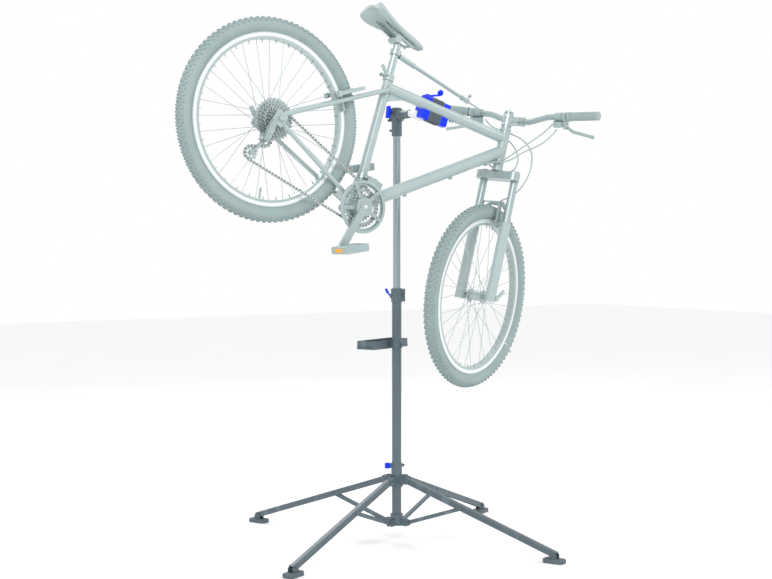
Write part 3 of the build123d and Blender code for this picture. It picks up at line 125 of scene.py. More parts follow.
# %% Mesh helpers
class Heap:
    """Vertices and faces gathered from many small shapes."""

    def __init__(self):
        self.points, self.faces = [], []

    def add(self, points, faces):
        start = len(self.points)
        self.points += [Vector(point) for point in points]
        self.faces += [[start + corner for corner in face] for face in faces]

    def become(self, name, body, finish, smooth=False):
        mesh = bpy.data.meshes.new(name)
        mesh.from_pydata([tuple(point) for point in self.points], [], self.faces)
        mesh.validate()
        piece = bpy.data.objects.new(name, mesh)
        bpy.context.scene.collection.objects.link(piece)
        for polygon in mesh.polygons:
            polygon.use_smooth = smooth
        mesh.materials.append(finish)
        if body:
            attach(piece, body)
        return piece


def square_to(direction):
    """Two directions square to an axis and to each other."""
    direction = direction.normalized()
    helper = Vector((0, 0, 1)) if abs(direction.z) < 0.9 else Vector((1, 0, 0))
    first = direction.cross(helper).normalized()
    return first, direction.cross(first)


def lathe(heap, origin, direction, profile, turns=32, closed=False):
    """Sweep (along, radius) pairs, in millimetres, round an axis; a closed profile makes a ring."""
    first, second = square_to(direction)
    direction = direction.normalized()
    points, faces = [], []
    for along, radius in profile:
        for step in range(turns):
            turn = 2 * pi * step / turns
            out = first * cos(turn) + second * sin(turn)
            points.append(origin + (direction * along + out * radius) * MM)
    rows = len(profile)
    for row in range(rows if closed else rows - 1):
        following = (row + 1) % rows
        for step in range(turns):
            ahead = (step + 1) % turns
            faces.append([row * turns + step, row * turns + ahead, following * turns + ahead,
                          following * turns + step])
    if not closed:
        faces.append(list(range(turns))[::-1])
        faces.append([(rows - 1) * turns + step for step in range(turns)])
    heap.add(points, faces)


def slab(heap, centre, along, across, upward, size, taper=1.0):
    """A block with its top face smaller by taper; size is (along, across, upward) in millimetres."""
    points = []
    for level, share in ((-0.5, 1.0), (0.5, taper)):
        for a, b in ((-0.5, -0.5), (0.5, -0.5), (0.5, 0.5), (-0.5, 0.5)):
            points.append(centre + (along * a * size[0] * share + across * b * size[1] * share
                                    + upward * level * size[2]) * MM)
    faces = [[3, 2, 1, 0], [4, 5, 6, 7], [0, 1, 5, 4], [1, 2, 6, 5], [2, 3, 7, 6], [3, 0, 4, 7]]
    heap.add(points, faces)


def hose(name, points, radius, finish):
    """A smooth round hose through space: a NURBS line with a bevel, turned into a mesh."""
    line = bpy.data.curves.new(name, "CURVE")
    line.dimensions = "3D"
    line.bevel_depth = radius * MM
    line.bevel_resolution = 3
    line.resolution_u = 8
    line.use_fill_caps = True
    spline = line.splines.new("NURBS")
    spline.points.add(len(points) - 1)
    for knot, point in zip(spline.points, points):
        knot.co = (*point, 1.0)
    spline.order_u = 3
    spline.use_endpoint_u = True
    drawn = bpy.data.objects.new(name + "_line", line)
    bpy.context.scene.collection.objects.link(drawn)
    bpy.context.view_layer.update()
    mesh = bpy.data.meshes.new_from_object(drawn.evaluated_get(bpy.context.evaluated_depsgraph_get()))
    bpy.data.objects.remove(drawn)
    mesh.name = name
    piece = bpy.data.objects.new(name, mesh)
    bpy.context.scene.collection.objects.link(piece)
    mesh.materials.clear()
    mesh.materials.append(finish)
    for polygon in mesh.polygons:
        polygon.use_smooth = True
    return piece


# %% [markdown]
# ## Shader maths as Python
# A procedural finish is sums and products of noise. Wiring each Math node by hand hides the formula, so a small
# class wraps a socket and lets Python's own operators add the nodes. Colours don't go through it: they are blended
# with Mix nodes, because a Math node would turn them grey.

# %% Wires and finishes
def connect(tree, socket, value):
    if isinstance(value, Wire):
        tree.links.new(value.socket, socket)
    else:
        socket.default_value = value


class Wire:
    """A number that varies over the surface."""

    def __init__(self, tree, socket):
        self.tree, self.socket = tree, socket

    def combine(self, operation, first, second):
        node = self.tree.nodes.new("ShaderNodeMath")
        node.operation = operation
        connect(self.tree, node.inputs[0], first)
        connect(self.tree, node.inputs[1], second)
        return Wire(self.tree, node.outputs[0])

    def __add__(self, other):
        return self.combine("ADD", self, other)

    def __sub__(self, other):
        return self.combine("SUBTRACT", self, other)

    def __rsub__(self, other):
        return self.combine("SUBTRACT", other, self)

    def __mul__(self, other):
        return self.combine("MULTIPLY", self, other)

    def above(self, limit):
        return self.combine("GREATER_THAN", self, limit)

    __radd__ = __add__
    __rmul__ = __mul__


class Finish:
    """One material with a single Principled shader."""

    def __init__(self, name, **fixed):
        self.material = bpy.data.materials.new(name)
        self.material.use_nodes = True
        self.tree = self.material.node_tree
        self.shader = self.tree.nodes["Principled BSDF"]
        for socket, value in fixed.items():
            self.shader.inputs[socket.replace("_", " ")].default_value = value
        self.where = self.node("ShaderNodeTexCoord", output="Object")

    def node(self, kind, settings=None, output=0, **inputs):
        """Any other node: its settings first, then the values or wires of its sockets."""
        node = self.tree.nodes.new(kind)
        for name, value in (settings or {}).items():
            if name == "stops":
                for element, (position, colour) in zip(node.color_ramp.elements, value):
                    element.position = position
                    element.color = colour
            else:
                setattr(node, name, value)
        for name, value in inputs.items():
            key = int(name[1:]) if name[0] == "i" and name[1:].isdigit() else name.replace("_", " ")
            connect(self.tree, node.inputs[key], value)
        return Wire(self.tree, node.outputs[output])

    def stretched(self, x, y, z):
        """The place on the surface with its axes scaled, for long scratches and fine grain."""
        return self.node("ShaderNodeVectorMath", {"operation": "MULTIPLY"}, i0=self.where, i1=(x, y, z))

    def noise(self, scale, detail=3.0, at=None):
        return self.node("ShaderNodeTexNoise", Vector=at or self.where, Scale=scale, Detail=detail)

    def blend(self, share, first, second):
        """A colour between two colours."""
        return self.node("ShaderNodeMix", {"data_type": "RGBA"}, output=2, i0=share, i6=first, i7=second)

    def paint(self, colour=None, roughness=None, bump=None, depth=0.0002, metallic=None):
        for name, value in (("Base Color", colour), ("Roughness", roughness), ("Metallic", metallic)):
            if value is not None:
                connect(self.tree, self.shader.inputs[name], value)
        if bump is not None:
            normal = self.node("ShaderNodeBump", Height=bump, Distance=depth, Strength=0.6)
            connect(self.tree, self.shader.inputs["Normal"], normal)
        return self.material


def shade(red, green, blue):
    return (red, green, blue, 1.0)


print("shader helpers ready")

# %% [markdown]
# ## Painted and plated metal
# Powder coat is never quite flat: it has an orange-peel skin a few millimetres across, cloudy gloss where hands
# have rubbed it, and thin scuffs. Three noises at three sizes give those, one each for bump, colour and roughness.

# %% Stand finishes
def powder_coat(name, pale, deep, gloss):
    finish = Finish(name, Coat_Weight=0.15, Coat_Roughness=0.25)
    cloud = finish.noise(9.0)
    scuff = finish.noise(26.0, 6.0, finish.stretched(1, 1, 0.15)).above(0.63)
    colour = finish.blend(cloud, shade(*deep), shade(*pale))
    worn = finish.blend(scuff * 0.35, colour, shade(*[min(1, c * 1.9) for c in pale]))
    return finish.paint(worn, cloud * 0.18 + gloss + scuff * 0.12, finish.noise(420.0, 2.0), 0.00025)


def drawn_steel(name, pale, deep, gloss):
    """Tube drawn through a die: fine lines along its length under a satin plating."""
    finish = Finish(name)
    lines = finish.noise(300.0, 4.0, finish.stretched(1, 1, 0.02))
    cloud = finish.noise(7.0)
    colour = finish.blend(lines * 0.6 + cloud * 0.4, shade(*deep), shade(*pale))
    return finish.paint(colour, lines * 0.2 + gloss, lines, 0.0001, metallic=cloud * 0.1 + 0.85)


slate = powder_coat("slate_powder_coat", (0.098, 0.142, 0.165), (0.062, 0.094, 0.112), 0.34)
slate_leg = powder_coat("slate_leg_coat", (0.09, 0.13, 0.152), (0.058, 0.086, 0.103), 0.38)
grey_tube = drawn_steel("grey_drawn_tube", (0.46, 0.53, 0.55), (0.25, 0.31, 0.33), 0.14)
chrome = drawn_steel("bright_plating", (0.90, 0.91, 0.92), (0.72, 0.74, 0.75), 0.06)
print("stand finishes made")

# %% [markdown]
# ## Moulded plastic and rubber
# A glossy knob has a faint texture from its mould and a few dull patches where it is handled. A foot pad or a jaw
# is matte and coarser. Both are the same recipe with other numbers.

# %% Plastic finishes
def moulded(name, pale, deep, gloss, grain, depth, shine=0.4):
    finish = Finish(name, Specular_IOR_Level=shine)
    cloud = finish.noise(14.0, 4.0)
    colour = finish.blend(cloud, shade(*deep), shade(*pale))
    return finish.paint(colour, cloud * 0.15 + gloss, finish.noise(grain, 2.0), depth)


blue = moulded("blue_moulding", (0.0, 0.045, 0.95), (0.0, 0.022, 0.72), 0.2, 600.0, 0.0001, 0.2)
dark_pad = moulded("dark_pad", (0.105, 0.14, 0.16), (0.06, 0.085, 0.1), 0.5, 900.0, 0.0003)
pale_moulding = moulded("pale_moulding", (0.34, 0.425, 0.425), (0.27, 0.35, 0.348), 0.36, 800.0, 0.0002)
pale_rubber = moulded("pale_rubber", (0.33, 0.41, 0.41), (0.265, 0.34, 0.338), 0.55, 1100.0, 0.0003)
tread_rubber = moulded("tread_rubber", (0.31, 0.39, 0.388), (0.22, 0.29, 0.288), 0.6, 1100.0, 0.0003)
amber = moulded("amber_reflector", (0.95, 0.42, 0.03), (0.8, 0.3, 0.02), 0.12, 700.0, 0.0002)
casing = moulded("cable_casing", (0.36, 0.44, 0.44), (0.29, 0.37, 0.368), 0.3, 1500.0, 0.00005)
print("plastic finishes made")

# %% [markdown]
# ## The bicycle's metals
# The frame has a pale lacquer with a clear coat over it. The alloy parts are satin, with turning lines, and the
# chain and sprockets are plated steel with a trace of oil.

# %% Bicycle finishes
def lacquer(name, pale, deep):
    finish = Finish(name, Coat_Weight=0.55, Coat_Roughness=0.08)
    cloud = finish.noise(6.0)
    fleck = finish.noise(1500.0, 1.0)
    colour = finish.blend(cloud * 0.7 + fleck * 0.3, shade(*deep), shade(*pale))
    return finish.paint(colour, cloud * 0.12 + 0.3, finish.noise(260.0, 2.0), 0.0001)


def satin_alloy(name, pale, deep, gloss):
    finish = Finish(name)
    lines = finish.noise(500.0, 3.0, finish.stretched(0.1, 1, 1))
    cloud = finish.noise(12.0)
    colour = finish.blend(lines * 0.5 + cloud * 0.5, shade(*deep), shade(*pale))
    return finish.paint(colour, cloud * 0.15 + gloss, lines, 0.00008, metallic=cloud * 0.1 + 0.55)


def oiled_steel(name, pale, deep):
    finish = Finish(name)
    oil = finish.noise(60.0, 5.0)
    colour = finish.blend(oil, shade(*deep), shade(*pale))
    return finish.paint(colour, 0.5 - oil * 0.25, finish.noise(700.0), 0.0001, metallic=oil * 0.3 + 0.55)


frame_lacquer = lacquer("frame_lacquer", (0.355, 0.44, 0.44), (0.305, 0.385, 0.385))
fork_lacquer = lacquer("fork_lacquer", (0.375, 0.46, 0.46), (0.32, 0.40, 0.40))
alloy = satin_alloy("satin_alloy", (0.44, 0.52, 0.52), (0.31, 0.39, 0.388), 0.26)
rim_alloy = satin_alloy("anodised_rim", (0.47, 0.55, 0.545), (0.37, 0.45, 0.445), 0.3)
track_alloy = satin_alloy("machined_track", (0.86, 0.90, 0.90), (0.76, 0.81, 0.81), 0.2)
chain_steel = oiled_steel("chain_steel", (0.46, 0.54, 0.535), (0.27, 0.335, 0.333))
chain_plates = oiled_steel("chain_plates", (0.70, 0.76, 0.755), (0.46, 0.53, 0.525))
print("bicycle finishes made")

# %% [markdown]
# ## Dressing the CAD nodes
# Every node that keeps its CAD shape takes the finish of its material slot. A glTF import gives flat normals on
# hard-edged solids, and they are left as imported.

# %% Finishes by slot
finish_of = {
    "slate_paint": slate, "foot_plastic": dark_pad, "grey_steel": grey_tube, "bright_chrome": chrome,
    "blue_plastic": blue, "jaw_plastic": dark_pad, "frame_paint": frame_lacquer, "fork_metal": alloy,
    "fork_paint": fork_lacquer, "pale_alloy": alloy, "rim_alloy": rim_alloy, "pale_tyre": pale_rubber,
    "drive_steel": chain_steel, "pale_plastic": pale_moulding, "grip_rubber": pale_rubber,
    "saddle_cover": pale_rubber, "cable_cover": casing,
}
slot_of = {part["node"]: part["material_slot"] for part in frame["record"]["subparts"]}


def dress(name, finish):
    piece = frame["nodes"][name]
    piece.data.materials.clear()
    piece.data.materials.append(finish)


for name in frame["nodes"]:
    dress(name, finish_of[slot_of[name]])
for number in range(1, 5):
    dress(f"leg_{number}", slate_leg)
    dress(f"strut_{number}", slate_leg)
print("dressed", len(slot_of), "nodes")

# %% [markdown]
# ## Tyres
# A mountain tyre is a hollow ring with rows of rubber blocks. The carcass could be a plain torus, but the blocks
# are what the eye reads, so each one is a tapered slab set square to the ring at its own angle: a pair of centre
# blocks, then shoulder blocks half a pitch later. Moulded rings run round each side wall.

# %% Tyres with blocks
tyre_radius = 336.0
tyre_section = 27.0
block_height = 3.6
block_pitches = 96


def tyre(name, node, wheel_joint, body):
    centre, across = pivot(wheel_joint), axis(wheel_joint)
    first, second = square_to(across)
    middle = tyre_radius - tyre_section
    carcass = tyre_section - block_height
    heap = Heap()
    profile = []
    for step in range(28):
        turn = 2 * pi * step / 28
        ridge = 0.5 if step in (6, 9, 19, 22) else 0.0
        bead = 1 + 0.3 * max(0.0, -cos(turn)) ** 6
        profile.append((sin(turn) * (carcass + ridge), middle + cos(turn) * (carcass + ridge) * bead))
    lathe(heap, centre, across, profile, turns=128, closed=True)
    rows = ((0.16, 0.0, 6.5, 7.0), (-0.16, 0.0, 6.5, 7.0), (0.55, 0.5, 7.5, 7.0), (-0.55, 0.5, 7.5, 7.0),
            (0.95, 0.0, 7.5, 7.0), (-0.95, 0.0, 7.5, 7.0))
    for pitch in range(block_pitches):
        for lean, shift, length, width in rows:
            turn = 2 * pi * (pitch + shift) / block_pitches
            out = first * cos(turn) + second * sin(turn)
            round_way = second * cos(turn) - first * sin(turn)
            normal = out * cos(lean) + across * sin(lean)
            side = across * cos(lean) - out * sin(lean)
            spot = centre + (out * middle + normal * (carcass + block_height * 0.42)) * MM
            slab(heap, spot, round_way, side, normal, (length, width, block_height + 1), 0.8)
    piece = heap.become(name, body, tread_rubber)
    for polygon in piece.data.polygons[:28 * 128]:
        polygon.use_smooth = True
    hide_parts(node)
    print(name, len(piece.data.polygons), "faces")


tyre("front_tread", "front_tyre", "front_wheel_spin", "front_wheel")
tyre("rear_tread", "rear_tyre", "rear_wheel_spin", "rear_wheel")

# %% [markdown]
# ## Wheel details
# Each spoke ends in a nipple at the rim, and one valve stem points at the hub. They are tiny lathe shapes. The
# braking surface is machined, so a thin ring on each side of the rim catches the light differently.

# %% Nipples, valves and brake tracks
rim_inner = 262.0
rim_outer = 286.0
rim_half = 13.0
spoke_count = 32


def wheel_trim(word, wheel_joint, body, valve_way):
    centre, across = pivot(wheel_joint), axis(wheel_joint)
    first, second = square_to(across)
    heap = Heap()
    for index in range(spoke_count):
        turn = 2 * pi * (index + 0.5) / spoke_count
        inward = -(first * cos(turn) + second * sin(turn))
        seat = centre - inward * (rim_inner + 1) * MM + across * (1.0 if index % 2 else -1.0) * MM
        lathe(heap, seat, inward, [(0, 3.0), (2, 3.0), (3, 2.0), (11, 1.7), (12, 1.2)], 10)
    inward = -valve_way.normalized()
    seat = centre - inward * (rim_inner + 1) * MM
    lathe(heap, seat, inward, [(0, 5.5), (3, 5.0), (4, 3.6), (26, 3.6), (27, 4.2), (38, 4.0), (39, 3.0)], 16)
    tracks = Heap()
    for side in (1, -1):
        face = rim_half * side
        lathe(tracks, centre, across, [(face, rim_outer - 15), (face + side * 0.5, rim_outer - 14.5),
                                     (face + side * 0.5, rim_outer - 4), (face, rim_outer - 3.5)], 128, True)
    heap.become(f"{word}_nipples", body, alloy, smooth=False)
    tracks.become(f"{word}_brake_tracks", body, track_alloy, smooth=False)


wheel_trim("front", "front_wheel_spin", "front_wheel", Vector((0.6, 0, -0.8)))
wheel_trim("rear", "rear_wheel_spin", "rear_wheel", Vector((-0.15, 0, -1)))
print("wheel trim on both wheels")

# %% [markdown]
# ## Toothed discs
# A sprocket's outline is a circle with one low for each chain roller. One function gives the radius at any angle,
# with a flattened cosine, and a ring of quads between that outline and the bore makes the plate. The same function
# makes the rear cassette and the front chainrings.

# %% Sprockets and chainrings
chain_pitch = 12.7
chainline = 45.0
ring_spacing = 8.0
sprocket_spacing = 5.0
ring_teeth = (24, 32, 42)
cassette_teeth = (34, 28, 24, 20, 18, 16, 14)


def pitch_radius(teeth):
    return chain_pitch / (2 * sin(pi / teeth))


def toothed_plate(heap, centre, across, teeth, bore, thick, phase=0.0):
    """A flat ring with teeth: the outline is lowest where a chain roller sits."""
    first, second = bike_turn @ Vector((1, 0, 0)), bike_turn @ Vector((0, 0, 1))
    steps = teeth * 8
    points, faces = [], []
    for side in (-0.5, 0.5):
        for inner in (True, False):
            for step in range(steps):
                turn = 2 * pi * step / steps + phase
                wave = cos(teeth * (turn - phase))
                outline = pitch_radius(teeth) + 3.2 * max(-1.0, min(0.75, -1.5 * wave))
                radius = bore if inner else outline
                slope = 0.5 if not inner and outline > pitch_radius(teeth) + 1 else 1.0
                out = first * cos(turn) + second * sin(turn)
                points.append(centre + (out * radius + across * thick * side * slope) * MM)
    for step in range(steps):
        ahead = (step + 1) % steps
        low_in, low_out, high_in, high_out = (level * steps for level in range(4))
        faces.append([low_in + step, low_out + step, low_out + ahead, low_in + ahead])
        faces.append([high_in + step, high_in + ahead, high_out + ahead, high_out + step])
        faces.append([low_out + step, high_out + step, high_out + ahead, low_out + ahead])
        faces.append([low_in + step, low_in + ahead, high_in + ahead, high_in + step])
    heap.add(points, faces)


cogs = Heap()
for index, teeth in enumerate(cassette_teeth):
    centre = rear_axle + left_of_bike * (-chainline + (3 - index) * sprocket_spacing) * MM
    bore = 17.0 if teeth < 20 else pitch_radius(teeth) - 16
    toothed_plate(cogs, centre, left_of_bike, teeth, bore, 1.9)
    for arm in range(5):
        turn = 2 * pi * arm / 5 + index * 0.2
        out = bike_turn @ Vector((cos(turn), 0, sin(turn)))
        middle = centre + out * (bore + 17.0) / 2 * MM
        slab(cogs, middle, out, left_of_bike.cross(out), left_of_bike, (bore - 14.0, 9.0, 1.8))
lathe(cogs, rear_axle, -left_of_bike, [(28, 9), (28, 18), (61, 18), (62, 16), (64, 16), (64, 9)], 40, True)
cassette_piece = cogs.become("cassette_cogs", "cassette", chain_steel)
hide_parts("cassette")

rings = Heap()
for index, teeth in enumerate(ring_teeth):
    centre = crank_centre + left_of_bike * (-chainline + (1 - index) * ring_spacing) * MM
    bore = 33.0 if index == 0 else pitch_radius(teeth) - 12
    toothed_plate(rings, centre, left_of_bike, teeth, bore, 2.2)
guard_side = -chainline - ring_spacing - 5
lathe(rings, crank_centre + left_of_bike * guard_side * MM, left_of_bike,
      [(-2, 80.2), (-2, 88), (-1, 90), (1, 90), (2, 88), (2, 80.2)], 96, True)
for arm in range(5):
    turn = 2 * pi * arm / 5
    out = bike_turn @ Vector((cos(turn), 0, sin(turn)))
    bolt = crank_centre + out * 62 * MM + left_of_bike * (guard_side - 2) * MM
    lathe(rings, bolt, -left_of_bike, [(0, 6), (1.5, 6), (2.5, 5), (2.5, 2.6), (0.5, 2.6)], 16)
rings_piece = rings.become("chainring_set", "cranks", alloy)
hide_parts("chainrings")
print("cassette and chainrings cut")

# %% [markdown]
# ## The chain
# A chain is one loop of straight runs and arcs over four wheels. Walking along that loop in steps of one pitch
# gives every roller's place. Between two rollers lie a pair of plates, narrow and wide in turn, so the loop is
# made of real links, each facing the way that the loop runs there.

# %% Chain links
upper_pulley = (4.0, -80.0)
lower_pulley = (-16.0, -146.0)
pulley_teeth = 11
crank_spot = (axle_to_crank.x, axle_to_crank.z)
wheels = [(crank_spot, pitch_radius(32), -1), (lower_pulley, pitch_radius(pulley_teeth), -1),
          (upper_pulley, pitch_radius(pulley_teeth), 1), ((0.0, 0.0), pitch_radius(20), -1)]


def straight_run(first, second):
    """Where the chain leaves one wheel and meets the next; turn 1 is anticlockwise, -1 clockwise."""
    (start, radius_first, turn_first), (end, radius_second, turn_second) = first, second
    gap_x, gap_z = end[0] - start[0], end[1] - start[1]
    across = atan2(gap_z, gap_x) + asin((turn_first * radius_first - turn_second * radius_second)
                                        / hypot(gap_x, gap_z))
    leave = (start[0] + turn_first * radius_first * sin(across),
             start[1] - turn_first * radius_first * cos(across))
    meet = (end[0] + turn_second * radius_second * sin(across), end[1] - turn_second * radius_second * cos(across))
    return leave, meet


runs = [straight_run(wheels[i], wheels[(i + 1) % 4]) for i in range(4)]
loop = []
for index, (leave, meet) in enumerate(runs):
    steps = ceil(hypot(meet[0] - leave[0], meet[1] - leave[1]) / 2.0)
    for step in range(steps):
        share = step / steps
        loop.append((leave[0] + (meet[0] - leave[0]) * share, leave[1] + (meet[1] - leave[1]) * share))
    (centre, radius, turn), onward = wheels[(index + 1) % 4], runs[(index + 1) % 4][0]
    start = atan2(meet[1] - centre[1], meet[0] - centre[0])
    sweep = (atan2(onward[1] - centre[1], onward[0] - centre[0]) - start) * turn % (2 * pi)
    steps = ceil(sweep * radius / 2.0)
    for step in range(steps):
        angle = start + turn * sweep * step / steps
        loop.append((centre[0] + radius * cos(angle), centre[1] + radius * sin(angle)))
length = sum(hypot(b[0] - a[0], b[1] - a[1]) for a, b in zip(loop, loop[1:] + loop[:1]))
link_count = 2 * round(length / chain_pitch / 2)
print("chain of", link_count, "links,", round(length), "mm")


def along_loop(distance):
    """The point at a distance along the closed loop."""
    for here, there in zip(loop, loop[1:] + loop[:1]):
        step = hypot(there[0] - here[0], there[1] - here[1])
        if distance <= step:
            share = distance / step
            return here[0] + (there[0] - here[0]) * share, here[1] + (there[1] - here[1]) * share
        distance -= step
    return loop[0]


links = Heap()
rollers = [along_loop(length * index / link_count) for index in range(link_count)]
for index, (here, there) in enumerate(zip(rollers, rollers[1:] + rollers[:1])):
    side_gap = 3.1 if index % 2 else 2.1
    run = bike_turn @ Vector((there[0] - here[0], 0, there[1] - here[1])).normalized()
    upward = run.cross(left_of_bike)
    middle = on_bike((here[0] + there[0]) / 2, -chainline, (here[1] + there[1]) / 2)
    for side in (1, -1):
        plate = middle + left_of_bike * side * side_gap * MM
        slab(links, plate, run, upward, left_of_bike * side, (20.0, 5.6, 0.9))
        slab(links, plate + run * 6.35 * MM, run, upward, left_of_bike * side, (7.0, 8.2, 0.9))
        slab(links, plate - run * 6.35 * MM, run, upward, left_of_bike * side, (7.0, 8.2, 0.9))
    pin = on_bike(here[0], -chainline, here[1])
    lathe(links, pin - left_of_bike * 3.7 * MM, left_of_bike, [(0, 1.7), (1.9, 1.7), (1.9, 3.8), (5.5, 3.8),
                                                               (5.5, 1.7), (7.4, 1.7)], 10)
chain_piece = links.become("chain_links", "bike", chain_plates)
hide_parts("chain")

# %% [markdown]
# ## Guide pulleys
# The two small wheels of the rear derailleur have eleven rounded teeth in plastic and a plain bush in the middle.

# %% Pulleys
pulleys = Heap()
for spot in (upper_pulley, lower_pulley):
    centre = on_bike(spot[0], -chainline, spot[1])
    toothed_plate(pulleys, centre, left_of_bike, pulley_teeth, 15.0, 2.6)
    for arm in range(5):
        turn = 2 * pi * arm / 5
        out = bike_turn @ Vector((cos(turn), 0, sin(turn)))
        slab(pulleys, centre + out * 11 * MM, out, left_of_bike.cross(out), left_of_bike, (10, 3.5, 2.4))
    lathe(pulleys, centre, left_of_bike, [(-4, 4.2), (-4, 8), (4, 8), (4, 4.2)], 20, True)
pulley_piece = pulleys.become("guide_pulleys", "bike", pale_moulding)
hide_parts("jockey_wheels")

# %% [markdown]
# ## The saddle
# A saddle is thin foam under a tight cover, on a plastic base. It is drawn as a loft: at each station along its
# length a half width, a crown height and a skirt height give a closed, rounded section. The rear is split into two
# lobes by a notch, and a shallow channel runs along the top. Subdivision rounds it, and a cloth pass isn't needed
# because nothing in it is slack.

# %% Saddle cover
saddle_stations = (
    (354, 7, 580, 566), (350, 15, 584, 558), (336, 21, 587, 550), (308, 22, 587, 547), (272, 25, 584, 543),
    (240, 32, 581, 537), (208, 44, 578, 529), (178, 57, 577, 519), (150, 66, 580, 511), (126, 70, 584, 509),
    (112, 68, 586, 517), (105, 60, 585, 531),
)


def saddle_loop(x, half, crown, skirt, around=28):
    """One cross-section: flat-bottomed, crowned on top, with the channel and the rear notch."""
    points = []
    for step in range(around):
        turn = 2 * pi * step / around
        y = half * (abs(cos(turn)) ** 0.75) * (1 if cos(turn) >= 0 else -1)
        rise = abs(sin(turn)) ** 0.8
        z = (crown + skirt) / 2 + (crown - skirt) / 2 * (rise if sin(turn) >= 0 else -rise)
        share = y / max(half, 1)
        if sin(turn) >= 0:
            z -= 3.0 * exp(-(y / 8.0) ** 2) * min(1, half / 40)
            z -= (crown - skirt) * 0.12 * share ** 2
        else:
            z += (crown - skirt) * 0.6 * (1 - share ** 2)
        notch = 22.0 * exp(-(y / 18.0) ** 2) * max(0.0, (150 - x) / 48)
        points.append(on_bike(x + notch, y, z))
    return points


def saddle():
    around = 28
    heap = Heap()
    loops = [saddle_loop(*station, around) for station in saddle_stations]
    points = [point for loop_points in loops for point in loop_points]
    faces = []
    for row in range(len(loops) - 1):
        for step in range(around):
            ahead = (step + 1) % around
            faces.append([row * around + step, row * around + ahead, (row + 1) * around + ahead,
                          (row + 1) * around + step])
    for row, flip in ((0, False), (len(loops) - 1, True)):
        middle = sum(loops[row], Vector()) / around
        points.append(middle)
        hub = len(points) - 1
        for step in range(around):
            edge = [row * around + step, row * around + (step + 1) % around, hub]
            faces.append(edge if flip else edge[::-1])
    heap.add(points, faces)
    piece = heap.become("saddle_cover", None, saddle_finish, smooth=True)
    rounding = piece.modifiers.new("rounding", "SUBSURF")
    rounding.levels = rounding.render_levels = 2
    bpy.context.view_layer.objects.active = piece
    bpy.ops.object.modifier_apply(modifier="rounding")
    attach(piece, "seat")
    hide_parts("saddle")
    print("saddle", len(piece.data.vertices), "points")


def fine_cover():
    """A leather-like cover: cells of two sizes, with a cloudy tone all over."""
    finish = Finish("saddle_cover_grain", Sheen_Weight=0.1)
    cells = finish.node("ShaderNodeTexVoronoi", Vector=finish.where, Scale=520.0)
    cloud = finish.noise(9.0)
    colour = finish.blend(cloud, shade(0.29, 0.37, 0.368), shade(0.37, 0.455, 0.452))
    return finish.paint(colour, cloud * 0.15 + 0.42, cells + finish.noise(1400.0) * 0.3, 0.0003)


saddle_finish = fine_cover()
saddle()

# %% [markdown]
# ## Saddle rails and seams
# Two steel rails run from the nose to the rear, dipping to the level where the seat post's clamp holds them.
# Two welts of piping mark the panels of the cover.

# %% Rails and piping
for side, word in ((1, "left"), (-1, "right")):
    rail_points = [on_bike(318, side * 9, 560), on_bike(306, side * 11, 548), on_bike(280, side * 18, 539),
                   on_bike(250, side * 21, 537), on_bike(205, side * 22, 537), on_bike(178, side * 24, 538),
                   on_bike(152, side * 30, 548), on_bike(138, side * 34, 560)]
    rail = hose(f"saddle_rail_{word}", rail_points, 3.4, alloy)
    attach(rail, "seat")
    edge = []
    for x, half, crown, skirt in saddle_stations[1:-1]:
        edge.append(on_bike(x, side * (half + 0.2), (crown + skirt) / 2 - 2))
    welt = hose(f"saddle_welt_{word}", edge, 1.3, pale_rubber)
    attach(welt, "seat")
print("saddle trimmed")

# %% [markdown]
# ## Grips
# The grips are soft rubber sleeves with close ribs, a flange at the inner end and a rounded outer end. A lathe
# profile that steps in and out makes the ribs as real geometry, so they show at the edge of the shape as well.

# %% Ribbed grips
bar_end = Vector((705.0, 49.0, 335.0))
bar_knee = Vector((699.0, 77.0, 120.0))
grip_length = 125.0


def fork_side(spot, side):
    """A fork place given as (along, ahead, left), mirrored for the right side."""
    return on_fork(spot.x, spot.y, spot.z * side)


def grip(side):
    end = fork_side(bar_end, side)
    outward = (end - fork_side(bar_knee, side)).normalized()
    profile = [(-grip_length, 11.6), (-grip_length, 17.5), (-grip_length + 3, 18.0), (-grip_length + 6, 17.0)]
    ribs = 17
    for rib in range(ribs):
        start = -grip_length + 9 + rib * (grip_length - 16) / ribs
        profile += [(start, 14.2), (start + 1.0, 15.9), (start + 4.4, 15.9), (start + 5.4, 14.2)]
    profile += [(-4, 15.5), (-2, 16.2), (2, 16.2), (3.6, 14.5), (4, 10.0)]
    heap = Heap()
    lathe(heap, end, outward, profile, 32)
    return heap


for side, word in ((1, "left"), (-1, "right")):
    piece = grip(side).become(f"grip_{word}", "steering", pale_rubber)
    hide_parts("grips")
print("grips turned")

# %% [markdown]
# ## Clamp jaws
# The jaws are dark mouldings with ribs across the middle and a bright blue cap on each end. The CAD bodies already
# have the bored seat for the tube, so their finish only needs to know how far along the tube a point is: past the
# caps' inner edge it turns blue, and behind the hinge the bracket is bright metal. The ribs are real bars.

# %% Jaw finish and ribs
tube_way = bike_turn @ Vector((cos(radians(17.56)), 0, sin(radians(17.56))))
jaw_up = tube_way.cross(left_of_bike)
clamp_middle = Vector((0.0, pivot("rear_wheel_spin").y, 1.5855))
cap_start = 0.027
plate_start = 0.0465


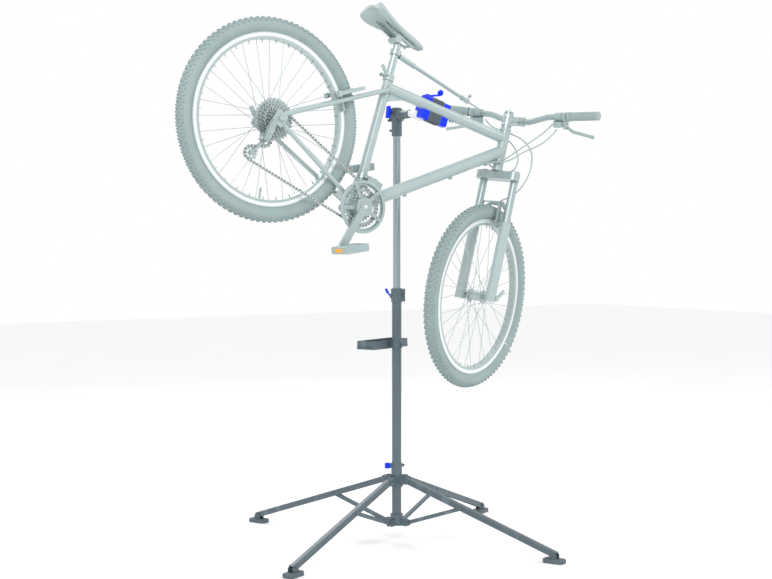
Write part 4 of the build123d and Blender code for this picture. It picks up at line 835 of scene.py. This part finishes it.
def jaw_finish(name):
    finish = Finish(name, Specular_IOR_Level=0.2)
    flat = finish.node("ShaderNodeVectorMath", {"operation": "DOT_PRODUCT"}, output=1, i0=finish.where,
                       i1=tuple(tube_way))
    along = flat - clamp_middle.dot(tube_way)
    distance = along.combine("ABSOLUTE", along, 0.0)
    cap = distance.above(cap_start)
    level = finish.node("ShaderNodeVectorMath", {"operation": "DOT_PRODUCT"}, output=1, i0=finish.where,
                        i1=tuple(left_of_bike))
    plate = level.above(clamp_middle.dot(left_of_bike) + plate_start)
    cloud = finish.noise(14.0)
    dark = finish.blend(cloud, shade(0.06, 0.08, 0.095), shade(0.1, 0.13, 0.15))
    bright = finish.blend(cloud, shade(0.0, 0.02, 0.7), shade(0.0, 0.045, 0.95))
    colour = finish.blend(plate, finish.blend(cap, dark, bright), shade(0.8, 0.81, 0.82))
    return finish.paint(colour, 0.5 - cap * 0.25, finish.noise(900.0, 2.0), 0.0002, metallic=plate * 0.4)


jaws = jaw_finish("jaw_mouldings")
dress("upper_jaw", jaws)
dress("lower_jaw", jaws)

for node, body, sense, depth in (("upper_jaw", "upper_jaw", 1, 17.0), ("lower_jaw", "bike", -1, 32.0)):
    ribs = Heap()
    for rib in range(7):
        along = (rib - 3) * 7.2
        face = clamp_middle + (tube_way * along + jaw_up * sense * (19.0 + depth)) * MM
        slab(ribs, face + left_of_bike * 10.5 * MM, left_of_bike, tube_way, jaw_up * sense, (20.0, 3.6, 3.0), 0.8)
        front = clamp_middle + (tube_way * along - left_of_bike * 7.0 + jaw_up * sense * (18.0 + depth / 2)) * MM
        slab(ribs, front, jaw_up * sense, tube_way, -left_of_bike, (depth * 0.62, 3.6, 3.0), 0.8)
    piece = ribs.become(f"{node}_ribs", body, dark_pad)
print("jaws finished")

# %% [markdown]
# ## Cables
# Four cables run from the levers and shifters: three to stops under the down tube and one to the front brake.
# Each is one smooth NURBS line through a given route. The handlebar turns, so the cable bends between the
# frame and the bar: points near the bar follow the steering, and those near the frame stay still.

# %% Cable routes
cable_routes = {
    "rear_brake_cable": [
        (918, -106, 665), (911, -98, 626), (889, -78, 565), (867, -57, 506), (853, -39, 463), (841, -18, 438),
        (830, 0, 433), (817, 0, 415)],
    "rear_shift_cable": [
        (937, -117, 653), (939, -98, 610), (918, -80, 562), (888, -65, 518), (872, -56, 477), (850, -42, 446),
        (827, -14, 435), (813, -14, 418)],
    "front_shift_cable": [
        (814, 164, 614), (822, 133, 594), (838, 93, 583), (872, 57, 578), (912, 34, 563), (942, 22, 532),
        (949, 18, 492), (931, 24, 460), (894, 36, 447), (853, 38, 437), (827, 14, 435), (813, 14, 418)],
}
front_brake_route = [
    (818, 163, 634), (828, 129, 608), (838, 81, 595), (858, 33, 589), (890, -2, 588), (928, -20, 578),
    (958, -30, 550), (974, -35, 505), (978, -37, 455), (973, -33, 405), (956, -21, 363), (928, -26, 330)]
for name, route in cable_routes.items():
    cable = hose(name, [on_bike(*point) for point in route], 2.5, casing)
    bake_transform(cable)
    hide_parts("cables")
cable = hose("front_brake_cable", [on_bike(*point) for point in front_brake_route], 2.5, casing)
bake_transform(cable)
print("cables run")

# %% [markdown]
# ## Bolts
# Small fasteners give the eye its scale: a socket bolt in the stem cap, the stem's clamp bolts and the crank
# bolts. Each is a lathe shape with a recess.

# %% Socket bolts
def socket_bolt(heap, spot, outward, radius):
    lathe(heap, spot, outward, [(0, radius), (radius * 0.5, radius), (radius * 0.7, radius * 0.85),
                                (radius * 0.7, radius * 0.45), (radius * 0.2, radius * 0.45)], 18)


steering_bolts = Heap()
socket_bolt(steering_bolts, on_fork(695, 0, 0), fork_up, 5.0)
for level in (640, 670):
    socket_bolt(steering_bolts, on_fork(level, -20, 0), -fork_ahead, 3.6)
for side in (1, -1):
    for level in (-9, 9):
        socket_bolt(steering_bolts, on_fork(678 + level, 83 + 17, side * 14), fork_ahead, 3.2)
steering_bolts.become("stem_bolts", "steering", chrome)

crank_bolts = Heap()
for side in (1, -1):
    socket_bolt(crank_bolts, crank_centre + left_of_bike * side * 72 * MM, left_of_bike * side, 7.5)
crank_bolts.become("crank_bolts", "cranks", chrome)
print("bolts set")

# %% [markdown]
# ## Pedal reflectors
# Each pedal carries an amber reflector in its front and rear edge. The lens is a shallow block that stands a
# little proud of the cage, and it turns with the pedal, so it takes the pedal's own tilt.

# %% Reflectors
pedal_tilt = 42.0
pedal_half = 46.0
pedal_turn = Matrix.Rotation(radians(-pedal_tilt), 3, "Y")
for side, word in ((1, "left"), (-1, "right")):
    spot = pivot(f"pedal_{word}_spin")
    fore, up = (bike_turn @ pedal_turn @ Vector(way) for way in ((1, 0, 0), (0, 0, 1)))
    middle = spot + left_of_bike * side * 56 * MM
    lenses = Heap()
    for way in (1, -1):
        slab(lenses, middle + fore * way * pedal_half * MM, left_of_bike, up, fore * way, (44.0, 13.0, 3.0), 0.9)
    lenses.become(f"pedal_reflector_{word}", f"pedal_{word}", amber)
print("reflectors set")

# %% [markdown]
# ## Floor and light
# The floor is pale and nearly matt, with a faint mottling so that it isn't a flat colour. Three large soft lamps
# and a bright surround give gentle shading from above, with no hard shadows.

# %% Stage
def pale_floor():
    finish = Finish("pale_floor")
    cloud = finish.noise(2.0)
    colour = finish.blend(cloud, shade(0.90, 0.905, 0.905), shade(0.94, 0.945, 0.945))
    return finish.paint(colour, cloud * 0.1 + 0.6)


floor_heap = Heap()
floor_heap.add([(-14, -14, 0), (14, -14, 0), (14, 14, 0), (-14, 14, 0)], [[0, 1, 2, 3]])
floor = floor_heap.become("studio_floor", None, pale_floor())

world = bpy.data.worlds.new("studio")
bpy.context.scene.world = world
world.use_nodes = True
world.node_tree.nodes["Background"].inputs["Color"].default_value = shade(1.0, 1.0, 1.0)
world.node_tree.nodes["Background"].inputs["Strength"].default_value = 1.0
bpy.context.scene.view_settings.view_transform = "Standard"
for name, place, power, size in (("key", (-3.0, -3.5, 4.2), 110.0, 2.0), ("fill", (3.5, -2.5, 3.0), 40.0, 2.0),
                                 ("back", (0.5, 3.5, 3.6), 50.0, 2.0)):
    lamp_data = bpy.data.lights.new(name, "AREA")
    lamp_data.energy = power
    lamp_data.size = size
    lamp = bpy.data.objects.new(name, lamp_data)
    lamp.location = place
    lamp.rotation_euler = (Vector((0, 0, 1.0)) - lamp.location).to_track_quat("-Z", "Y").to_euler()
    bpy.context.scene.collection.objects.link(lamp)
